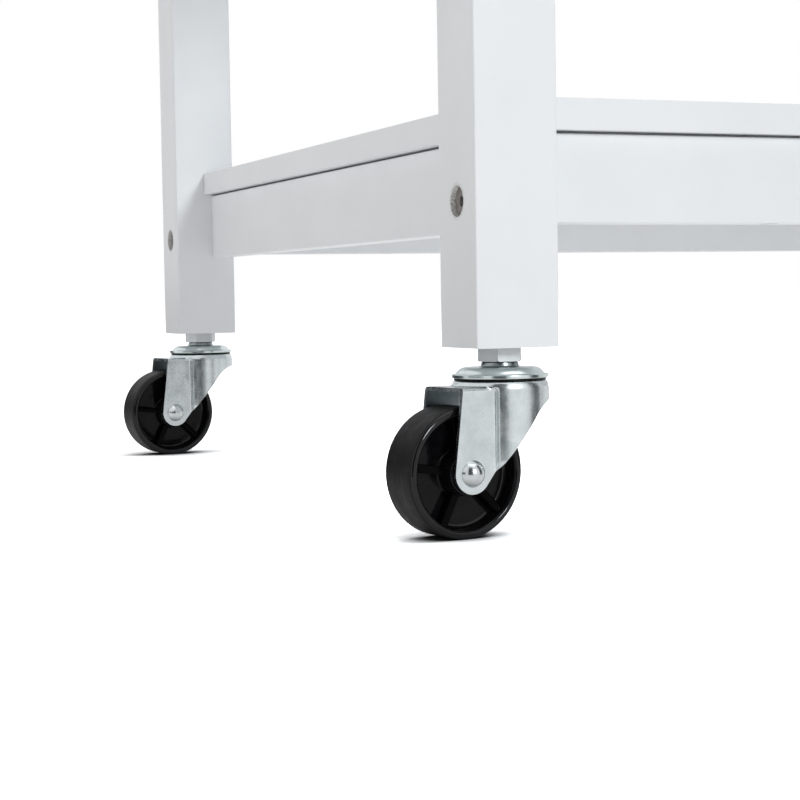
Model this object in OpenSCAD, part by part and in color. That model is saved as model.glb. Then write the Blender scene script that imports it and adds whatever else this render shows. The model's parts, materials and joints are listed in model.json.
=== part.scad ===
// Kitchen cart on four swivel casters: painted square legs, rails and shelves,
// an oiled wood worktop, one drawer and a towel bar.
// Millimetres. Z is up and the floor is z = 0. The front is -Y, the length runs along X.
// The origin is on the floor under the middle of the worktop.

/* [Frame] */
// Length over the legs
frame_l = 636; // [520:1:900]
// Depth over the legs
frame_d = 460; // [420:1:620]
// Length of a leg
leg_l = 806.5; // [700:0.5:900]
// Side of a square leg
leg_w = 34; // [32:0.5:44]
// Radius of the arrises along the legs and rails
arris_r = 0.6; // [0.3:0.1:2]

/* [Rails] */
// Thickness of the long rails
long_rail_t = 18; // [17:0.5:22]
// Height of the long rails under a shelf
long_rail_h = 34; // [33:0.5:48]
// Thickness of the end rails and end aprons
end_rail_t = 13; // [12:0.5:18]
// Height of the end rails under a shelf
end_rail_h = 36; // [30:0.5:48]
// Leg bottom to the top of the lower rails
lower_rail_up = 81; // [70:0.5:160]
// Leg bottom to the top of the middle rails
middle_rail_up = 381; // [250:0.5:480]

/* [Shelves] */
// Thickness of a shelf at its edge
shelf_t = 12; // [9:0.5:20]
// Height of the dark gap between a rail and the shelf edge
shadow_gap = 1; // [0.6:0.1:2]
// How far a shelf stands out past the face of the end rails
shelf_end_out = 4.5; // [2:0.5:12]
// How far a shelf stands out past the face of the long rails
shelf_front_out = 4.5; // [1:0.5:8]
// How far the shadow gap reaches in over a rail
gap_reach = 6; // [3:0.5:8]
// Play between a shelf and the legs in its corner notches
notch_play = 0.3; // [0.2:0.05:1]

/* [Worktop] */
// Thickness of the worktop
top_t = 22; // [18:0.5:40]
// Overhang of the worktop past the legs at each end
top_end_out = 32; // [31:0.5:60]
// Overhang of the worktop past the legs at front and back
top_front_out = 22.5; // [22:0.5:40]
// Corner radius of the worktop in plan
top_corner_r = 8; // [3:0.5:20]

/* [Drawer opening] */
// Height of the rail above the drawer
top_rail_h = 20; // [16:0.5:30]
// Height of the rail below the drawer
drawer_rail_h = 20; // [16:0.5:30]
// Height of the opening between these two rails
opening_h = 100; // [90:1:160]

/* [Drawer] */
// Gap around the drawer front
front_gap = 2; // [1:0.5:4]
// Thickness of the drawer front
front_t = 15; // [14:0.5:20]
// Drawer front set back from the face of the legs
front_recess = 2; // [0:0.5:3]
// Thickness of the drawer sides
side_t = 14; // [13:0.5:18]
// Height of the drawer sides
side_h = 80; // [70:1:88]
// Gap between the drawer box and the rear apron
back_gap = 39; // [5:1:90]
// Thickness of the drawer back
back_t = 12; // [10:0.5:16]
// Thickness of the drawer bottom
bottom_t = 4; // [3:0.5:6]
// Bottom edge of the sides to the drawer bottom
bottom_up = 6; // [5:0.5:10]
// Depth of the grooves that hold the drawer bottom
bottom_groove = 5.5; // [4:0.5:6]
// Gap between a drawer side and the end apron
side_gap = 6.5; // [5:0.5:9]
// Middle of the drawer sides below the middle of the opening
side_down = 2; // [0:0.5:6]
// Travel of the drawer
drawer_travel = 240; // [150:5:260]
// Thickness of a stop block
stop_t = 10; // [8:0.5:14]
// Length of a stop block
stop_l = 20; // [12:1:30]
// How far a stop block reaches above the drawer opening
stop_catch = 6; // [3:0.5:10]
// How far a stop block reaches down a drawer side
stop_glue = 12; // [8:0.5:20]

/* [Drawer runners] */
// Thickness of a runner
runner_t = 14; // [11:0.5:16]
// Height of a runner
runner_h = 16; // [12:0.5:20]
// Running clearance between a runner and its groove
runner_play = 0.3; // [0.2:0.05:0.6]
// Air between a runner and the floor of its groove
runner_air = 1; // [0.5:0.1:2]
// Bite of the runner screws in an apron
runner_bite = 10; // [6:0.5:11]
// Depth of the screw head pockets in a runner
runner_pocket = 3; // [2.8:0.1:5]
// Middle of a runner above the middle of a drawer side
runner_up = 2; // [-6:0.5:6]
// Gap from each end of a runner to the long rails
runner_end_gap = 4; // [1:0.5:12]
// Middle of the cart to the outer runner screws along Y
runner_screw_y = 140; // [60:1:170]

/* [Knobs] */
// Diameter of a knob
knob_d = 30; // [22:0.5:40]
// How far a knob stands out of the drawer front
knob_out = 20; // [16:0.5:24]
// Distance between the two knobs
knob_span = 300; // [160:1:420]
// Height of a knob's head along its axis
knob_head_h = 9; // [6:0.5:12]
// Rounding of the knob's rim
knob_rim = 3; // [1:0.5:4]
// Diameter of a knob's base
knob_base_d = 17; // [13:0.5:20]
// Diameter of a knob's neck
knob_neck_d = 10; // [8:0.5:12]
// Height of a knob's base
knob_base_h = 2; // [1:0.5:4]
// Diameter of the knob screws
knob_screw_d = 4; // [3:0.5:5]
// Bite of a knob screw in its knob
knob_bite = 9; // [6:0.5:12]

/* [Towel bar] */
// Diameter of the towel bar
bar_d = 16; // [12:0.5:22]
// Leg top down to the middle of the towel bar
bar_down = 190; // [182:1:300]
// Depth of the bar's sockets in the legs
bar_socket = 11; // [6:0.5:12]

/* [Frame bolts] */
// Shank diameter of the frame bolts
bolt_d = 6; // [5:0.5:7]
// Diameter of the bolt heads
bolt_head_d = 11.4; // [10:0.1:13]
// Thickness of the bolt heads
bolt_head_h = 3.5; // [3:0.1:5]
// Bolt heads set in from the face of the leg
bolt_sunk = 2; // [1:0.5:4]
// Length of the bolts under the head
bolt_l = 60; // [54:1:70]
// Hexagon socket in the bolt heads, across flats
bolt_key = 4; // [3:0.5:5]
// Metal left under the hexagon socket
bolt_floor = 1; // [0.5:0.1:1.5]
// Bottom edge of a long rail to the middle of its bolt
bolt_up = 8.5; // [7:0.5:10]
// Diameter of the barrel nuts
barrel_d = 10; // [9:0.5:12]
// Length of the barrel nuts
barrel_l = 14; // [12:0.5:15]
// Leg face to the middle of a barrel nut
barrel_in = 25; // [18:0.5:30]

/* [Dowels] */
// Diameter of the dowels beside the frame bolts
rail_dowel_d = 8; // [6:0.5:8]
// Diameter of the dowels in the end rails and the drawer
end_dowel_d = 6; // [5:0.5:6]
// Length of the dowels
dowel_l = 30; // [24:1:36]
// Depth of the end dowels in a leg
end_dowel_in = 12; // [8:0.5:12]
// Depth of the drawer dowels in the drawer front
drawer_dowel_in = 10; // [8:0.5:11]
// Depth of the rear drawer dowels in the drawer sides
drawer_dowel_side = 8; // [5:0.5:9]
// Bottom edge of a drawer side to its lower dowels
drawer_dowel_low = 19; // [15:0.5:21]
// Top edge of a drawer side to its upper dowels
drawer_dowel_high = 14; // [8:0.5:18]
// Edge of an end rail to the side of its nearest dowel
end_dowel_edge = 5; // [3:0.5:8]
// Wood between a frame bolt and the dowel above it
rail_dowel_wall = 6; // [3:0.5:8]

/* [Screws] */
// Shank diameter of the wood screws
screw_d = 4; // [3:0.5:4.5]
// Head diameter of the wood screws
screw_head_d = 7.5; // [6:0.5:9]
// Head height of the wood screws
screw_head_h = 2.5; // [1.5:0.1:2.7]
// Bite of the shelf screws in a shelf
shelf_bite = 8.5; // [6:0.5:10]
// Bite of the screws in the worktop
top_bite = 12; // [8:0.5:16]
// Middle of the cart to the outer screws along X
screw_x = 180; // [120:1:190]
// Depth of the screw head pockets in the shelf rails
shelf_pocket = 20; // [14:0.5:24]
// Depth of the screw head pockets in the rail under the worktop
top_pocket = 6; // [4:0.5:10]

/* [Worktop brackets] */
// Length of each flange of a bracket
bracket_l = 28; // [24:0.5:32]
// Width of a bracket
bracket_w = 20; // [16:0.5:30]
// Thickness of the bracket steel
bracket_t = 2; // [1.5:0.1:3]
// Corner of a bracket to its screw holes
bracket_hole = 17; // [12:0.5:20]
// Bite of the bracket screws in the wood
bracket_bite = 12; // [8:0.5:14]

/* [Caster wheels] */
// Diameter of a wheel
wheel_d = 50; // [44:0.5:60]
// Width of the wheel's rim
wheel_w = 19.5; // [14:0.5:20]
// Radial thickness of the rim
rim_t = 3.4; // [2:0.1:5]
// Rounding of the rim's shoulders
shoulder_r = 1.8; // [0.8:0.1:2]
// Diameter of the wheel's hub
hub_d = 17; // [14:0.5:20]
// Thickness of the wheel's web
web_t = 6; // [4:0.5:8]
// Number of ribs on each side of the web
rib_count = 5; // [3:1:8]
// Thickness of a rib
rib_t = 3.2; // [2:0.1:4]
// Ribs set in from the rim's side
rib_sunk = 2.2; // [1:0.1:3]
// Diameter of the axle rivet
axle_d = 6; // [5:0.5:7]
// Diameter of the rivet's domed heads
axle_head_d = 10.2; // [8:0.1:11]
// Height of the rivet's domed heads
axle_head_h = 3.5; // [1.5:0.1:4]
// Play of a wheel on its axle, all round
axle_play = 0.05; // [0.02:0.01:0.1]
// Play between the hub's ends and the fork's cheeks
hub_play = 0.3; // [0.2:0.05:0.6]
// Turn of the ribs in the wheel
rib_turn = 28; // [0:1:72]

/* [Caster forks] */
// Horizontal distance from the swivel axis to the axle
trail = 21.5; // [18:0.5:26]
// Thickness of the fork's steel
fork_t = 2; // [1.5:0.1:2.5]
// Gap between the fork's two flat cheeks
cheek_gap = 23; // [20.5:0.5:25]
// Radius of the cheeks round the axle
cheek_r = 7.7; // [6.5:0.1:9]
// Width of a cheek behind the axle at its upper end
cheek_top_back = 3.9; // [2:0.1:6]
// Outer radius of the fork's round collar
collar_r = 18.8; // [16:0.1:21]
// Height of the collar's round wall
collar_h = 7.4; // [6:0.1:9]
// Swivel axis back to the crease where a cheek steps out to the round wall
crease_back = 11; // [8:0.5:12]
// Overlap of the cheek and the step of the round wall at the crease
crease_lap = 1; // [0.6:0.1:1.5]
// Swivel axis forward to the top of the fork's slanted edge
slant_front = 8.8; // [8:0.1:14]
// Wheel top to the fork's underside
wheel_air = 5; // [3:0.5:8]
// Rounding of the collar's upper edge
collar_round = 0.9; // [0.5:0.1:2]
// Step from the flat tab up to the collar's top
collar_rise = 2; // [1:0.1:3]
// Thickness of the collar's top, which carries the balls
race_t = 3; // [2.7:0.1:3.5]

/* [Caster heads] */
// Open gap between the collar and the cap
race_gap = 0.9; // [0.6:0.1:1.5]
// Radius of the cap's thin brim
brim_r = 18.5; // [16:0.1:21]
// Thickness of the brim
brim_t = 1.4; // [1:0.1:2]
// Bevel round the brim's two edges
brim_bevel = 0.3; // [0.1:0.1:0.5]
// Radius of the cap's cone on the brim
cone_low_r = 17.4; // [16.5:0.1:18]
// Radius of the cone's flat top
cone_top_r = 14.9; // [13.5:0.1:16.5]
// Height of the cap over its brim
cone_h = 2.7; // [2:0.1:5]
// Diameter of the neck on the cap
neck_d = 15; // [13:0.1:17]
// Bevel round the neck's upper edge
neck_bevel = 0.5; // [0.2:0.1:1]
// Height of the neck
neck_h = 2.1; // [1:0.1:4]
// Diameter of the threaded stem
stem_d = 10; // [8:0.5:11]
// Length of the stem inside the leg
stem_in = 20; // [15:1:30]
// Diameter of the kingpin in the fork
kingpin_d = 8; // [7:0.5:9]
// Play of the kingpin in the fork, all round
kingpin_play = 0.05; // [0.02:0.01:0.1]
// Diameter of the kingpin's riveted end
kingpin_head_d = 13; // [11:0.5:15]
// Thickness of the kingpin's riveted end
kingpin_head_h = 2; // [1.5:0.1:3]
// Lock nut across its flats
nut_af = 16; // [14:0.5:17]
// Height of the lock nut
nut_h = 5.4; // [4:0.1:8]
// Bevel round the lower face of the lock nut
nut_bevel = 0.4; // [0.2:0.1:1]
// Turn of the lock nuts
nut_turn = 1; // [0:1:60]
// Outer diameter of the threaded insert in the leg
insert_d = 14; // [13:0.5:16]
// How far the insert reaches past the stem
insert_past = 2; // [1:0.5:10]
// Diameter of a bearing ball
ball_d = 4; // [3:0.1:4.2]
// Radius of the ball circle
ball_ring_r = 11; // [10.5:0.1:12]
// Number of balls in a caster
ball_count = 12; // [6:1:13]
// Play between the balls and their grooves
ball_play = 0.15; // [0.1:0.05:0.3]

/* [Caster headings] */
// Turn of the front left caster
turn_front_left = 9; // [-180:1:180]
// Turn of the rear left caster
turn_rear_left = 5; // [-180:1:180]
// Turn of the front right caster
turn_front_right = 4; // [-180:1:180]
// Turn of the rear right caster
turn_rear_right = 9; // [-180:1:180]

/* [Hidden] */
$fn = 48;

paint = [0.93, 0.94, 0.95];
oiled = [0.78, 0.60, 0.40];
bare = [0.86, 0.77, 0.62];
zinc = [0.76, 0.79, 0.80];
black = [0.08, 0.08, 0.09];
brushed = [0.70, 0.70, 0.69];

// Play round a bolt, round a screw head and round a piece that sits tight in its hole
hole_play = 0.25;
head_play = 0.3;
seat_play = 0.05;
// Extra depth of a hole past the piece in it, overshoot of a cut, and a hair's overlap
hole_deep = 0.5;
past = 1;
eps = 0.01;

// Frame places
half_l = frame_l / 2;
half_d = frame_d / 2;
leg_in_x = half_l - leg_w;
leg_in_y = half_d - leg_w;
leg_mid_x = half_l - leg_w / 2;
leg_mid_y = half_d - leg_w / 2;
end_out_x = leg_in_x + end_rail_t;
end_mid_x = leg_in_x + end_rail_t / 2;
long_out_y = leg_mid_y + long_rail_t / 2;
long_in_y = leg_mid_y - long_rail_t / 2;

// Caster heights
axle_z = wheel_d / 2;
tab_z = wheel_d + wheel_air;
tab_top_z = tab_z + fork_t;
collar_top_z = tab_top_z + collar_rise;
brim_z = collar_top_z + race_gap;
cone_z = brim_z + brim_t;
neck_z = cone_z + cone_h;
nut_z = neck_z + neck_h;
leg_z = nut_z + nut_h;
leg_top_z = leg_z + leg_l;
insert_l = stem_in + insert_past;
collar_low_z = collar_top_z - collar_h;
ball_z = (brim_z + collar_top_z) / 2;
kingpin_head_z = collar_top_z - race_t - ball_play - kingpin_head_h;

// Shelf and apron heights
lower_z = leg_z + lower_rail_up;
middle_z = leg_z + middle_rail_up;
apron_h = top_rail_h + opening_h + drawer_rail_h;
apron_z = leg_top_z - apron_h;
opening_z = apron_z + drawer_rail_h;

// Frame bolts, at the same heights in all four legs
bolt_zs = [
  lower_z - long_rail_h + bolt_up,
  middle_z - long_rail_h + bolt_up,
  apron_z + drawer_rail_h / 2,
  leg_top_z - top_rail_h / 2
];
bolt_seat = bolt_sunk + bolt_head_h;
bolt_bore_d = bolt_d + 2 * hole_play;
bolt_pocket_d = bolt_head_d + 2 * head_play;
bolt_end_x = half_l - bolt_seat - bolt_l;
barrel_x = leg_in_x - barrel_in;
barrel_hole = barrel_l / 2 + long_rail_t / 2 + hole_deep;
rail_dowel_up = bolt_up + bolt_bore_d / 2 + rail_dowel_d / 2 + rail_dowel_wall;
end_dowel_inset = end_dowel_d / 2 + end_dowel_edge;

// Shelf screws
shelf_screw_l = long_rail_h - shelf_pocket + shelf_bite;
top_screw_l = top_rail_h - top_pocket + top_bite;
screw_hole_d = screw_d + 2 * seat_play;
screw_pocket_d = screw_head_d + 2 * head_play;

// Drawer places
front_y = -half_d + front_recess;
box_y = front_y + front_t;
box_back_y = long_in_y - back_gap;
side_l = box_back_y - box_y;
front_z = opening_z + front_gap;
front_h = opening_h - 2 * front_gap;
front_half = leg_in_x - front_gap;
side_out_x = leg_in_x - side_gap;
side_in_x = side_out_x - side_t;
side_mid_x = side_out_x - side_t / 2;
side_z = opening_z + (opening_h - side_h) / 2 - side_down;
side_top_z = side_z + side_h;
bottom_z = side_z + bottom_up;
bottom_top_z = bottom_z + bottom_t;
runner_z = side_z + side_h / 2 - runner_h / 2 + runner_up;
runner_mid_z = runner_z + runner_h / 2;
runner_in_x = leg_in_x - runner_t;
runner_front_y = -long_in_y + runner_end_gap;
runner_back_y = long_in_y - runner_end_gap;
groove_in_x = runner_in_x - runner_air;
stop_y = -long_in_y + drawer_travel + runner_play;
stop_top_z = opening_z + opening_h + stop_catch;
RUNNER_SCREW_YS = [-runner_screw_y, 0, runner_screw_y];
knob_z = front_z + front_h / 2;
drawer_dowel_zs = [side_z + drawer_dowel_low, side_top_z - drawer_dowel_high];

// One quarter of the frame is drawn at the front left, and the others mirror it
CORNERS = [[0, 0], [1, 0], [0, 1], [1, 1]];

module at_corner(right, rear) {
  mirror([right, 0, 0])
    mirror([0, rear, 0])
      children();
}

// Square section with rounded corners, its lower left corner at the origin
module rounded_section(a, b, r) {
  translate([r, 0])
    square([a - 2 * r, b]);
  translate([0, r])
    square([a, b - 2 * r]);
  for (x = [r, a - r], y = [r, b - r])
    translate([x, y])
      circle(r);
}

// Bar along X with its arrises rounded, from a low corner
module bar_x(x, y, z, length, depth, height) {
  translate([x, y, z])
    rotate([90, 0, 90])
      linear_extrude(length)
        rounded_section(depth, height, arris_r);
}

// Bar along Y with its arrises rounded, from a low corner
module bar_y(x, y, z, width, length, height) {
  translate([x, y + length, z])
    rotate([90, 0, 0])
      linear_extrude(length)
        rounded_section(width, height, arris_r);
}

// Round pin along X from a start point
module pin_x(x, y, z, d, length) {
  translate([x, y, z])
    rotate([0, 90, 0])
      cylinder(d = d, h = length);
}

// Round pin along Y from a start point
module pin_y(x, y, z, d, length) {
  translate([x, y, z])
    rotate([-90, 0, 0])
      cylinder(d = d, h = length);
}

// Wood screw pointing up, its head below the origin
module screw_up(length) {
  cylinder(d = screw_d, h = length - screw_d);
  translate([0, 0, length - screw_d])
    cylinder(d1 = screw_d, d2 = screw_d / 6, h = screw_d);
  translate([0, 0, -screw_head_h])
    cylinder(d = screw_head_d, h = screw_head_h);
}

// Heights of the end dowels above the bottom of an end rail of height h
function end_dowel_ups(h) = h > 2 * end_rail_h
  ? [end_dowel_inset, h / 2, h - end_dowel_inset]
  : [end_dowel_inset, h - end_dowel_inset];

// Bottom and height of each end rail: lower, middle and apron
END_RAILS = [
  [lower_z - end_rail_h, end_rail_h],
  [middle_z - end_rail_h, end_rail_h],
  [apron_z, apron_h]
];

// Dowels between the end rails and the front left leg
module end_dowel_corner(d, extra) {
  for (rail = END_RAILS, up = end_dowel_ups(rail[1]))
    pin_y(-end_mid_x, -leg_in_y - end_dowel_in - extra, rail[0] + up, d, dowel_l + 2 * extra);
}

// Dowels between the long shelf rails and the front left leg
module rail_dowel_corner(d, extra) {
  for (z = [lower_z, middle_z])
    pin_x(-leg_in_x - dowel_l / 2 - extra, -leg_mid_y, z - long_rail_h + rail_dowel_up, d,
          dowel_l + 2 * extra);
}

module leg(towel_socket) {
  color(paint)
    difference() {
      translate([-half_l, -half_d, leg_z])
        linear_extrude(leg_l)
          rounded_section(leg_w, leg_w, arris_r);
      for (z = bolt_zs) {
        pin_x(-half_l - eps, -leg_mid_y, z, bolt_pocket_d, bolt_seat + eps);
        pin_x(-half_l, -leg_mid_y, z, bolt_bore_d, leg_w + eps);
      }
      rail_dowel_corner(rail_dowel_d + 2 * seat_play, hole_deep);
      end_dowel_corner(end_dowel_d + 2 * seat_play, hole_deep);
      translate([-leg_mid_x, -leg_mid_y, leg_z - eps])
        cylinder(d = insert_d + 2 * seat_play, h = insert_l + eps);
      if (towel_socket)
        pin_y(-leg_mid_x, -leg_in_y - bar_socket - hole_deep, leg_top_z - bar_down,
              bar_d + 2 * seat_play, bar_socket + hole_deep + past);
    }
}

// Bolt bore, barrel nut hole and dowel hole at the left end of a front long rail
module long_rail_end(z, dowel_z) {
  pin_x(-leg_in_x - past, -leg_mid_y, z, bolt_bore_d, leg_in_x - bolt_end_x + hole_deep + past);
  pin_y(-barrel_x, -long_in_y - barrel_hole, z, barrel_d + 2 * seat_play, barrel_hole + past);
  if (dowel_z > 0)
    pin_x(-leg_in_x - past, -leg_mid_y, dowel_z, rail_dowel_d + 2 * seat_play,
          dowel_l / 2 + hole_deep + past);
}

// Pocket and hole for an upright screw through a rail, from the rail's bottom
module screw_way(x, y, z, pocket, height) {
  translate([x, y, z - eps])
    cylinder(d = screw_pocket_d, h = pocket + eps);
  translate([x, y, z])
    cylinder(d = screw_hole_d, h = height + past);
}

// Front rail under a shelf whose rails end at height z
module shelf_long_rail(z) {
  low = z - long_rail_h;
  color(paint)
    difference() {
      bar_x(-leg_in_x, -long_out_y, low, 2 * leg_in_x, long_rail_t, long_rail_h);
      for (side = [0, 1])
        mirror([side, 0, 0]) {
          long_rail_end(low + bolt_up, low + rail_dowel_up);
          screw_way(-screw_x, -leg_mid_y, low, shelf_pocket, long_rail_h);
        }
    }
}

// Left end rail or apron, given as its bottom and its height
module end_rail(rail) {
  color(paint)
    difference() {
      bar_y(-end_out_x, -leg_in_y, rail[0], end_rail_t, 2 * leg_in_y, rail[1]);
      for (rear = [0, 1], up = end_dowel_ups(rail[1]))
        mirror([0, rear, 0])
          pin_y(-end_mid_x, -leg_in_y - past, rail[0] + up, end_dowel_d + 2 * seat_play,
                dowel_l - end_dowel_in + hole_deep + past);
    }
}

// Left end apron, an end rail that also takes the runner screws
module end_apron() {
  color(paint)
    difference() {
      end_rail(END_RAILS[2]);
      runner_screw_holes();
    }
}

// Shelf on rails that end at height z, notched round the four legs
module shelf(z) {
  color(paint)
    difference() {
      union() {
        shelf_plate(end_out_x + shelf_end_out, long_out_y + shelf_front_out, z + shadow_gap, shelf_t);
        shelf_plate(end_out_x - gap_reach, long_out_y - gap_reach, z, shelf_t);
      }
      for (corner = CORNERS)
        at_corner(corner[0], corner[1])
          translate([-screw_x, -leg_mid_y, z - eps])
            cylinder(d = screw_hole_d, h = shelf_bite + hole_deep);
    }
}

// Plate of given half length and half depth with the legs notched out of its corners
module shelf_plate(half_x, half_y, z, thickness) {
  in_x = leg_in_x - notch_play;
  in_y = leg_in_y - notch_play;
  translate([-half_x, -in_y, z])
    cube([2 * half_x, 2 * in_y, thickness]);
  translate([-in_x, -half_y, z])
    cube([2 * in_x, 2 * half_y, thickness]);
}

// Rail above the drawer, screwed to the worktop
module front_top_rail() {
  low = leg_top_z - top_rail_h;
  color(paint)
    difference() {
      bar_x(-leg_in_x, -long_out_y, low, 2 * leg_in_x, long_rail_t, top_rail_h);
      for (side = [0, 1])
        mirror([side, 0, 0])
          long_rail_end(bolt_zs[3], 0);
      for (x = [-screw_x, 0, screw_x])
        screw_way(x, -leg_mid_y, low, top_pocket, top_rail_h);
    }
}

// Rail below the drawer
module front_drawer_rail() {
  color(paint)
    difference() {
      bar_x(-leg_in_x, -long_out_y, apron_z, 2 * leg_in_x, long_rail_t, drawer_rail_h);
      for (side = [0, 1])
        mirror([side, 0, 0])
          long_rail_end(bolt_zs[2], 0);
    }
}

module rear_apron() {
  color(paint)
    mirror([0, 1, 0])
      difference() {
        bar_x(-leg_in_x, -long_out_y, apron_z, 2 * leg_in_x, long_rail_t, apron_h);
        for (side = [0, 1])
          mirror([side, 0, 0]) {
            long_rail_end(bolt_zs[2], 0);
            long_rail_end(bolt_zs[3], 0);
            pin_y(-screw_x, -long_in_y - bracket_bite - hole_deep, leg_top_z - bracket_hole,
                  screw_hole_d, bracket_bite + hole_deep + past);
          }
      }
}

module worktop() {
  half_x = half_l + top_end_out;
  half_y = half_d + top_front_out;
  color(oiled)
    difference() {
      translate([-half_x, -half_y, leg_top_z])
        linear_extrude(top_t)
          rounded_section(2 * half_x, 2 * half_y, top_corner_r);
      for (x = [-screw_x, 0, screw_x])
        translate([x, -leg_mid_y, leg_top_z - eps])
          cylinder(d = screw_hole_d, h = top_bite + hole_deep);
      for (x = [-screw_x, screw_x])
        translate([x, long_in_y - bracket_hole, leg_top_z - eps])
          cylinder(d = screw_hole_d, h = bracket_bite + hole_deep);
    }
}

module towel_bar() {
  color(paint)
    pin_y(leg_mid_x, -leg_in_y - bar_socket, leg_top_z - bar_down, bar_d,
          2 * (leg_in_y + bar_socket));
}

// Holes for the screws that hold the left runner on the left apron
module runner_screw_holes() {
  for (y = RUNNER_SCREW_YS) {
    pin_x(-leg_in_x - runner_bite - hole_deep, y, runner_mid_z, screw_hole_d,
          runner_bite + hole_deep + runner_t + past);
    pin_x(-runner_in_x - runner_pocket, y, runner_mid_z, screw_pocket_d, runner_pocket + past);
  }
}

module drawer_runners() {
  color(bare)
    for (side = [0, 1])
      mirror([side, 0, 0])
        difference() {
          translate([-leg_in_x, runner_front_y, runner_z])
            cube([runner_t, runner_back_y - runner_front_y, runner_h]);
          runner_screw_holes();
        }
}

module runner_screws() {
  length = runner_bite + runner_t - runner_pocket;
  color(zinc)
    for (side = [0, 1], y = RUNNER_SCREW_YS)
      mirror([side, 0, 0])
        translate([-runner_in_x - runner_pocket, y, runner_mid_z])
          rotate([0, -90, 0])
            screw_up(length);
}

// Hexagon-socket bolts through the legs into the ends of the long rails
module rail_bolts() {
  color(zinc)
    for (corner = CORNERS, z = bolt_zs)
      at_corner(corner[0], corner[1])
        difference() {
          union() {
            pin_x(-half_l + bolt_sunk, -leg_mid_y, z, bolt_head_d, bolt_head_h);
            pin_x(-half_l + bolt_seat, -leg_mid_y, z, bolt_d, bolt_l);
          }
          translate([-half_l + bolt_sunk - eps, -leg_mid_y, z])
            rotate([0, 90, 0])
              cylinder(d = bolt_key / cos(30), h = bolt_head_h - bolt_floor, $fn = 6);
        }
}

module barrel_nuts() {
  color(zinc)
    for (corner = CORNERS, z = bolt_zs)
      at_corner(corner[0], corner[1])
        difference() {
          pin_y(-barrel_x, -leg_mid_y - barrel_l / 2, z, barrel_d, barrel_l);
          pin_x(-barrel_x - barrel_d, -leg_mid_y, z, bolt_d + 2 * seat_play, 2 * barrel_d);
        }
}

module rail_dowels() {
  color(bare)
    for (corner = CORNERS)
      at_corner(corner[0], corner[1])
        rail_dowel_corner(rail_dowel_d, 0);
}

module end_dowels() {
  color(bare)
    for (corner = CORNERS)
      at_corner(corner[0], corner[1])
        end_dowel_corner(end_dowel_d, 0);
}

module shelf_screws() {
  color(zinc)
    for (corner = CORNERS, z = [lower_z, middle_z])
      at_corner(corner[0], corner[1])
        translate([-screw_x, -leg_mid_y, z - long_rail_h + shelf_pocket])
          screw_up(shelf_screw_l);
}

module worktop_screws() {
  color(zinc)
    for (x = [-screw_x, 0, screw_x])
      translate([x, -leg_mid_y, leg_top_z - top_rail_h + top_pocket])
        screw_up(top_screw_l);
}

// Angle brackets between the rear apron and the worktop
module worktop_brackets() {
  color(zinc)
    for (x = [-screw_x, screw_x])
      difference() {
        union() {
          translate([x - bracket_w / 2, long_in_y - bracket_t, leg_top_z - bracket_l])
            cube([bracket_w, bracket_t, bracket_l]);
          translate([x - bracket_w / 2, long_in_y - bracket_l, leg_top_z - bracket_t])
            cube([bracket_w, bracket_l, bracket_t]);
        }
        translate([x, long_in_y - bracket_hole, leg_top_z - bracket_t - past])
          cylinder(d = screw_hole_d, h = bracket_t + 2 * past);
        pin_y(x, long_in_y - bracket_t - past, leg_top_z - bracket_hole, screw_hole_d,
              bracket_t + 2 * past);
      }
}

module bracket_screws() {
  color(zinc)
    for (x = [-screw_x, screw_x]) {
      translate([x, long_in_y - bracket_hole, leg_top_z - bracket_t])
        screw_up(bracket_bite + bracket_t);
      translate([x, long_in_y - bracket_t, leg_top_z - bracket_hole])
        rotate([-90, 0, 0])
          screw_up(bracket_bite + bracket_t);
    }
}

// Holes for the dowels of the drawer's left side, at both its ends
module drawer_dowel_pins(d, extra) {
  for (z = drawer_dowel_zs) {
    pin_y(-side_mid_x, box_y - drawer_dowel_in - extra, z, d, dowel_l + 2 * extra);
    pin_x(-side_in_x - drawer_dowel_side - extra, box_back_y - back_t / 2, z, d,
          dowel_l + 2 * extra);
  }
}

// Groove all round for the drawer bottom, drawn as the bottom with play on its faces
module bottom_plate(play) {
  half_x = side_in_x + bottom_groove + play;
  translate([-half_x, box_y - bottom_groove - play, bottom_z - play])
    cube([2 * half_x, side_l + bottom_groove + past + play, bottom_t + 2 * play]);
}

module drawer_front() {
  color(paint)
    difference() {
      bar_x(-front_half, front_y, front_z, 2 * front_half, front_t, front_h);
      bottom_plate(seat_play);
      for (side = [0, 1])
        mirror([side, 0, 0]) {
          drawer_dowel_pins(end_dowel_d + 2 * seat_play, hole_deep);
          pin_y(-knob_span / 2, front_y - past, knob_z, knob_screw_d + 2 * seat_play,
                front_t + 2 * past);
        }
    }
}

// Left side of the drawer box, grooved outside for its runner and inside for the bottom
module drawer_side() {
  color(bare)
    difference() {
      translate([-side_out_x, box_y, side_z])
        cube([side_t, side_l, side_h]);
      translate([-side_out_x - past, runner_front_y - runner_play, runner_z - runner_play])
        cube([side_out_x - groove_in_x + past, side_l, runner_h + 2 * runner_play]);
      bottom_plate(seat_play);
      drawer_dowel_pins(end_dowel_d + 2 * seat_play, hole_deep);
    }
}

module drawer_back() {
  color(bare)
    difference() {
      translate([-side_in_x, box_back_y - back_t, bottom_top_z])
        cube([2 * side_in_x, back_t, side_top_z - bottom_top_z]);
      for (side = [0, 1])
        mirror([side, 0, 0])
          drawer_dowel_pins(end_dowel_d + 2 * seat_play, hole_deep);
    }
}

module drawer_bottom() {
  half_x = side_in_x + bottom_groove;
  color(bare)
    translate([-half_x, box_y - bottom_groove, bottom_z])
      cube([2 * half_x, side_l + bottom_groove, bottom_t]);
}

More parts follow.
